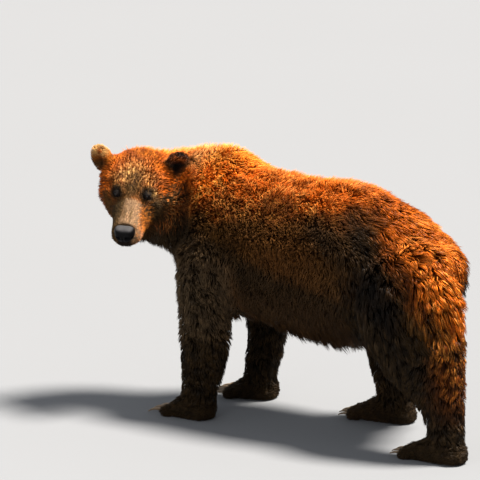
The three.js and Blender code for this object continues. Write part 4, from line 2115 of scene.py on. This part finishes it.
@dataclass
class Eye:
    """One eyeball with a slight bulge of its clear front."""

    side: str
    head: HeadFrame
    bulge: float = 0.8
    bulge_spread: float = 0.45
    around: int = 40
    rings: int = 28

    def build(self, material: bpy.types.Material) -> bpy.types.Object:
        """Makes the eye.

        Args:
            material: Its material.

        Returns:
            The eye.
        """
        name = f"{self.side}_eyeball"
        socket = Socket(SIDES[self.side])
        shape, faces = ball(self.around, self.rings)
        tilt = np.arccos(shape[:, 1])
        bow = socket.radius + self.bulge * bell(tilt, 0, self.bulge_spread)
        level = unit(np.cross(socket.gaze, [0.0, 0.0, 1.0]))
        axes = np.stack([level, socket.gaze, np.cross(level, socket.gaze)])
        points = (shape * bow[:, None]) @ axes + socket.centre
        mesh = new_mesh(name, self.head.to_body(points), faces[:, ::-1])
        store(mesh, "out", tilt / math.pi * 2)
        mesh.materials.append(material)
        thing = new_object(name, mesh)
        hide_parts(f"{self.side}_eye")
        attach(thing, BODY)
        return thing


@dataclass
class Nose:
    """The nose pad: broad and flat on top, with two comma-shaped nostrils and a groove between them."""

    head: HeadFrame
    half: float = 47.5
    deep: float = 31.0
    tall: float = 42.0
    around: int = 96
    rings: int = 64

    def build(self, material: bpy.types.Material) -> bpy.types.Object:
        """Makes the nose.

        Args:
            material: Its material.

        Returns:
            The nose.
        """
        shape, faces = ball(self.around, self.rings)
        points = self.shaped(shape) + np.array(HeadFrame.NOSE)
        mesh = new_mesh("nose_pad", self.head.to_body(points), faces)
        # Where the top plane is painted grey: a painted sheen.
        store(mesh, "top", ease(0.45, 0.85, shape[:, 2]) * ease(0.85, 0.3, shape[:, 1]))
        mesh.materials.append(material)
        thing = new_object("nose_pad", mesh)
        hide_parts("nose")
        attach(thing, BODY)
        return thing

    def shaped(self, shape: Array) -> Array:
        """The points of a ball moved to the pad's shape.

        Args:
            shape: Points at length 1.

        Returns:
            Millimetres in the head's axes, from the pad's middle.
        """
        left, ahead, up = shape.T
        soft = np.sign(shape) * np.abs(shape) ** 0.72
        breadth = 0.54 + 0.46 * ease(-1.0, 0.15, up)
        x = self.half * soft[:, 0] * breadth
        z = self.tall * soft[:, 2] - 1.0 - 5.0 * bell(x, 0, 26) * ease(0.3, 0.9, up)
        y = self.deep * soft[:, 1] - 9.0 * ease(0.3, 1.0, np.abs(left)) ** 2 - 8.0 * ease(0.0, -1.0, up)
        front = ease(-0.1, 0.4, ahead)
        side = np.abs(x)
        ridge = bell(np.hypot((side - 21) / 1.1, z + 4), 12, 5)
        hole = bell(np.hypot((side - 21) / 1.15, z + 4), 0, 8.0)
        slit = bell(side - 36, 0, 9) * bell(z + 2 - 0.45 * (side - 36), 0, 3.6)
        groove = bell(x, 0, 2.4) * ease(10, -4, z)
        y = y + front * (3.0 * ridge - 15.0 * hole - 6.0 * slit - 3.5 * groove)
        return np.stack([x, y, z], axis=1)


@dataclass
class Claws:
    """The twenty claws, which keep their own nodes."""

    nodes: dict[str, bpy.types.Object]
    levels: int = 2
    weld: float = 0.01 * MM

    def dress(self, material: bpy.types.Material) -> list[bpy.types.Object]:
        """Rounds each claw and gives it its horn.

        Args:
            material: Their material.

        Returns:
            The claws.
        """
        claws = [self.nodes[name] for name in CLAWS]
        for claw in claws:
            claw.modifiers.new("weld", "WELD").merge_threshold = self.weld
            rounding = claw.modifiers.new("round", "SUBSURF")
            rounding.levels = self.levels
            rounding.render_levels = self.levels
            claw.data.materials.clear()
            claw.data.materials.append(material)
        return claws


# ---- The studio ----


class LampKind(Enum):
    """The kinds of lamp."""

    SUN = "SUN"
    PANEL = "AREA"


@dataclass(frozen=True)
class Lamp:
    """A lamp that shines at the bear.

    softness is the angle that a sun takes up in the sky, or the width of a panel.
    """

    kind: LampKind
    name: str
    place: Place
    power: float
    colour: Colour
    softness: float

    def hang(self, target: Place) -> None:
        """Puts the lamp in the scene.

        Args:
            target: What it shines at.
        """
        data = bpy.data.lights.new(self.name, self.kind.value)
        data.energy = self.power
        data.color = self.colour
        if self.kind is LampKind.SUN:
            data.angle = self.softness
        else:
            data.size = self.softness
        lamp = bpy.data.objects.new(self.name, data)
        bpy.context.scene.collection.objects.link(lamp)
        lamp.location = self.place
        lamp.rotation_mode = "QUATERNION"
        lamp.rotation_quaternion = (Vector(target) - Vector(self.place)).to_track_quat("-Z", "Y")


@dataclass
class Studio:
    """A pale floor, soft lights and the camera."""

    azimuth: float = 125.0
    elevation: float = 13.0
    distance: float = 25.0
    pixels: float = 480.0
    pixels_per_metre: float = 222.0
    aim: Place = (-0.0249, -0.3463, 0.7966)
    sensor: float = 36.0
    far: float = 500.0
    floor_size: float = 400.0
    sky: Colour = (0.92, 0.95, 1.0)
    sky_strength: float = 0.60
    lit: Place = (0.0, 0.0, 0.7)
    key: Lamp = Lamp(LampKind.SUN, "key", (-1.35, 2.1, 6.0), 14.8, (1.0, 0.94, 0.86), math.radians(16))
    fill: Lamp = Lamp(LampKind.PANEL, "fill", (5.5, 0.5, 2.4), 72.0, (1.0, 0.97, 0.94), 2.5)

    def build(self, finish: FloorFinish) -> None:
        """Makes the whole studio.

        Args:
            finish: The floor's finish.
        """
        self.floor(finish)
        self.light()
        self.camera()

    def back(self) -> Vector:
        """The direction from the bear to the camera."""
        turn, rise = math.radians(self.azimuth), math.radians(self.elevation)
        return Vector((math.sin(turn) * math.cos(rise), -math.cos(turn) * math.cos(rise), math.sin(rise)))

    def camera(self) -> None:
        """Sets the camera far off, with a long lens."""
        data = bpy.data.cameras.new("camera")
        data.sensor_width = self.sensor
        data.lens = self.sensor * self.distance / (self.pixels / self.pixels_per_metre)
        data.clip_end = self.far
        eye = bpy.data.objects.new("camera", data)
        bpy.context.scene.collection.objects.link(eye)
        eye.rotation_mode = "QUATERNION"
        eye.location = Vector(self.aim) + self.back() * self.distance
        eye.rotation_quaternion = (-self.back()).to_track_quat("-Z", "Y")
        bpy.context.scene.camera = eye

    def floor(self, finish: FloorFinish) -> None:
        """Lays the floor.

        Args:
            finish: Its finish.
        """
        half = self.floor_size / 2
        corners = np.array([[-half, -half, 0], [half, -half, 0], [half, half, 0], [-half, half, 0]])
        ground = new_object("floor", new_mesh("floor", corners, np.array([[0, 1, 2, 3]])))
        ground.data.materials.append(finish.material())

    def light(self) -> None:
        """Hangs a key lamp above and behind and a fill at the side, under a pale sky."""
        world = bpy.data.worlds.new("sky")
        world.use_nodes = True
        background = world.node_tree.nodes["Background"]
        background.inputs["Color"].default_value = (*self.sky, 1.0)
        background.inputs["Strength"].default_value = self.sky_strength
        bpy.context.scene.world = world
        bpy.context.scene.view_settings.view_transform = "Standard"
        self.key.hang(self.lit)
        self.fill.hang(self.lit)


# ---- The bear ----


def report(*pieces: bpy.types.Object) -> None:
    """Logs the name of each piece and how many faces it has."""
    for piece in pieces:
        log.info("%s: %d faces", piece.name, len(piece.data.polygons))


def main() -> None:
    """Builds the bear and its studio, and reports each piece."""
    logging.basicConfig(level=logging.INFO, format="%(message)s")
    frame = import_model()
    head = HeadFrame()
    markings = Markings()
    Studio().build(FloorFinish())
    skin = Skin(head, frame["nodes"])
    report(skin.build(SkinFinish(), markings))
    roots = Sower(skin).sow(seed=5)
    short = roots.sites.lay("length") < SHORT_HAIR
    hair = CoatFinish().material()
    report(*Coat("coat", rings=2, pieces=8, seed=21).build(roots.part(~short), markings, hair))
    report(*Coat("short_coat", rings=1, pieces=1, seed=31).build(roots.part(short), markings, hair))
    eye_finish = EyeFinish().material()
    for side in SIDES:
        report(Eye(side, head).build(eye_finish))
    report(Nose(head).build(NoseFinish().material()))
    report(*Claws(frame["nodes"]).dress(ClawFinish().material()))


if __name__ == "__main__":
    main()
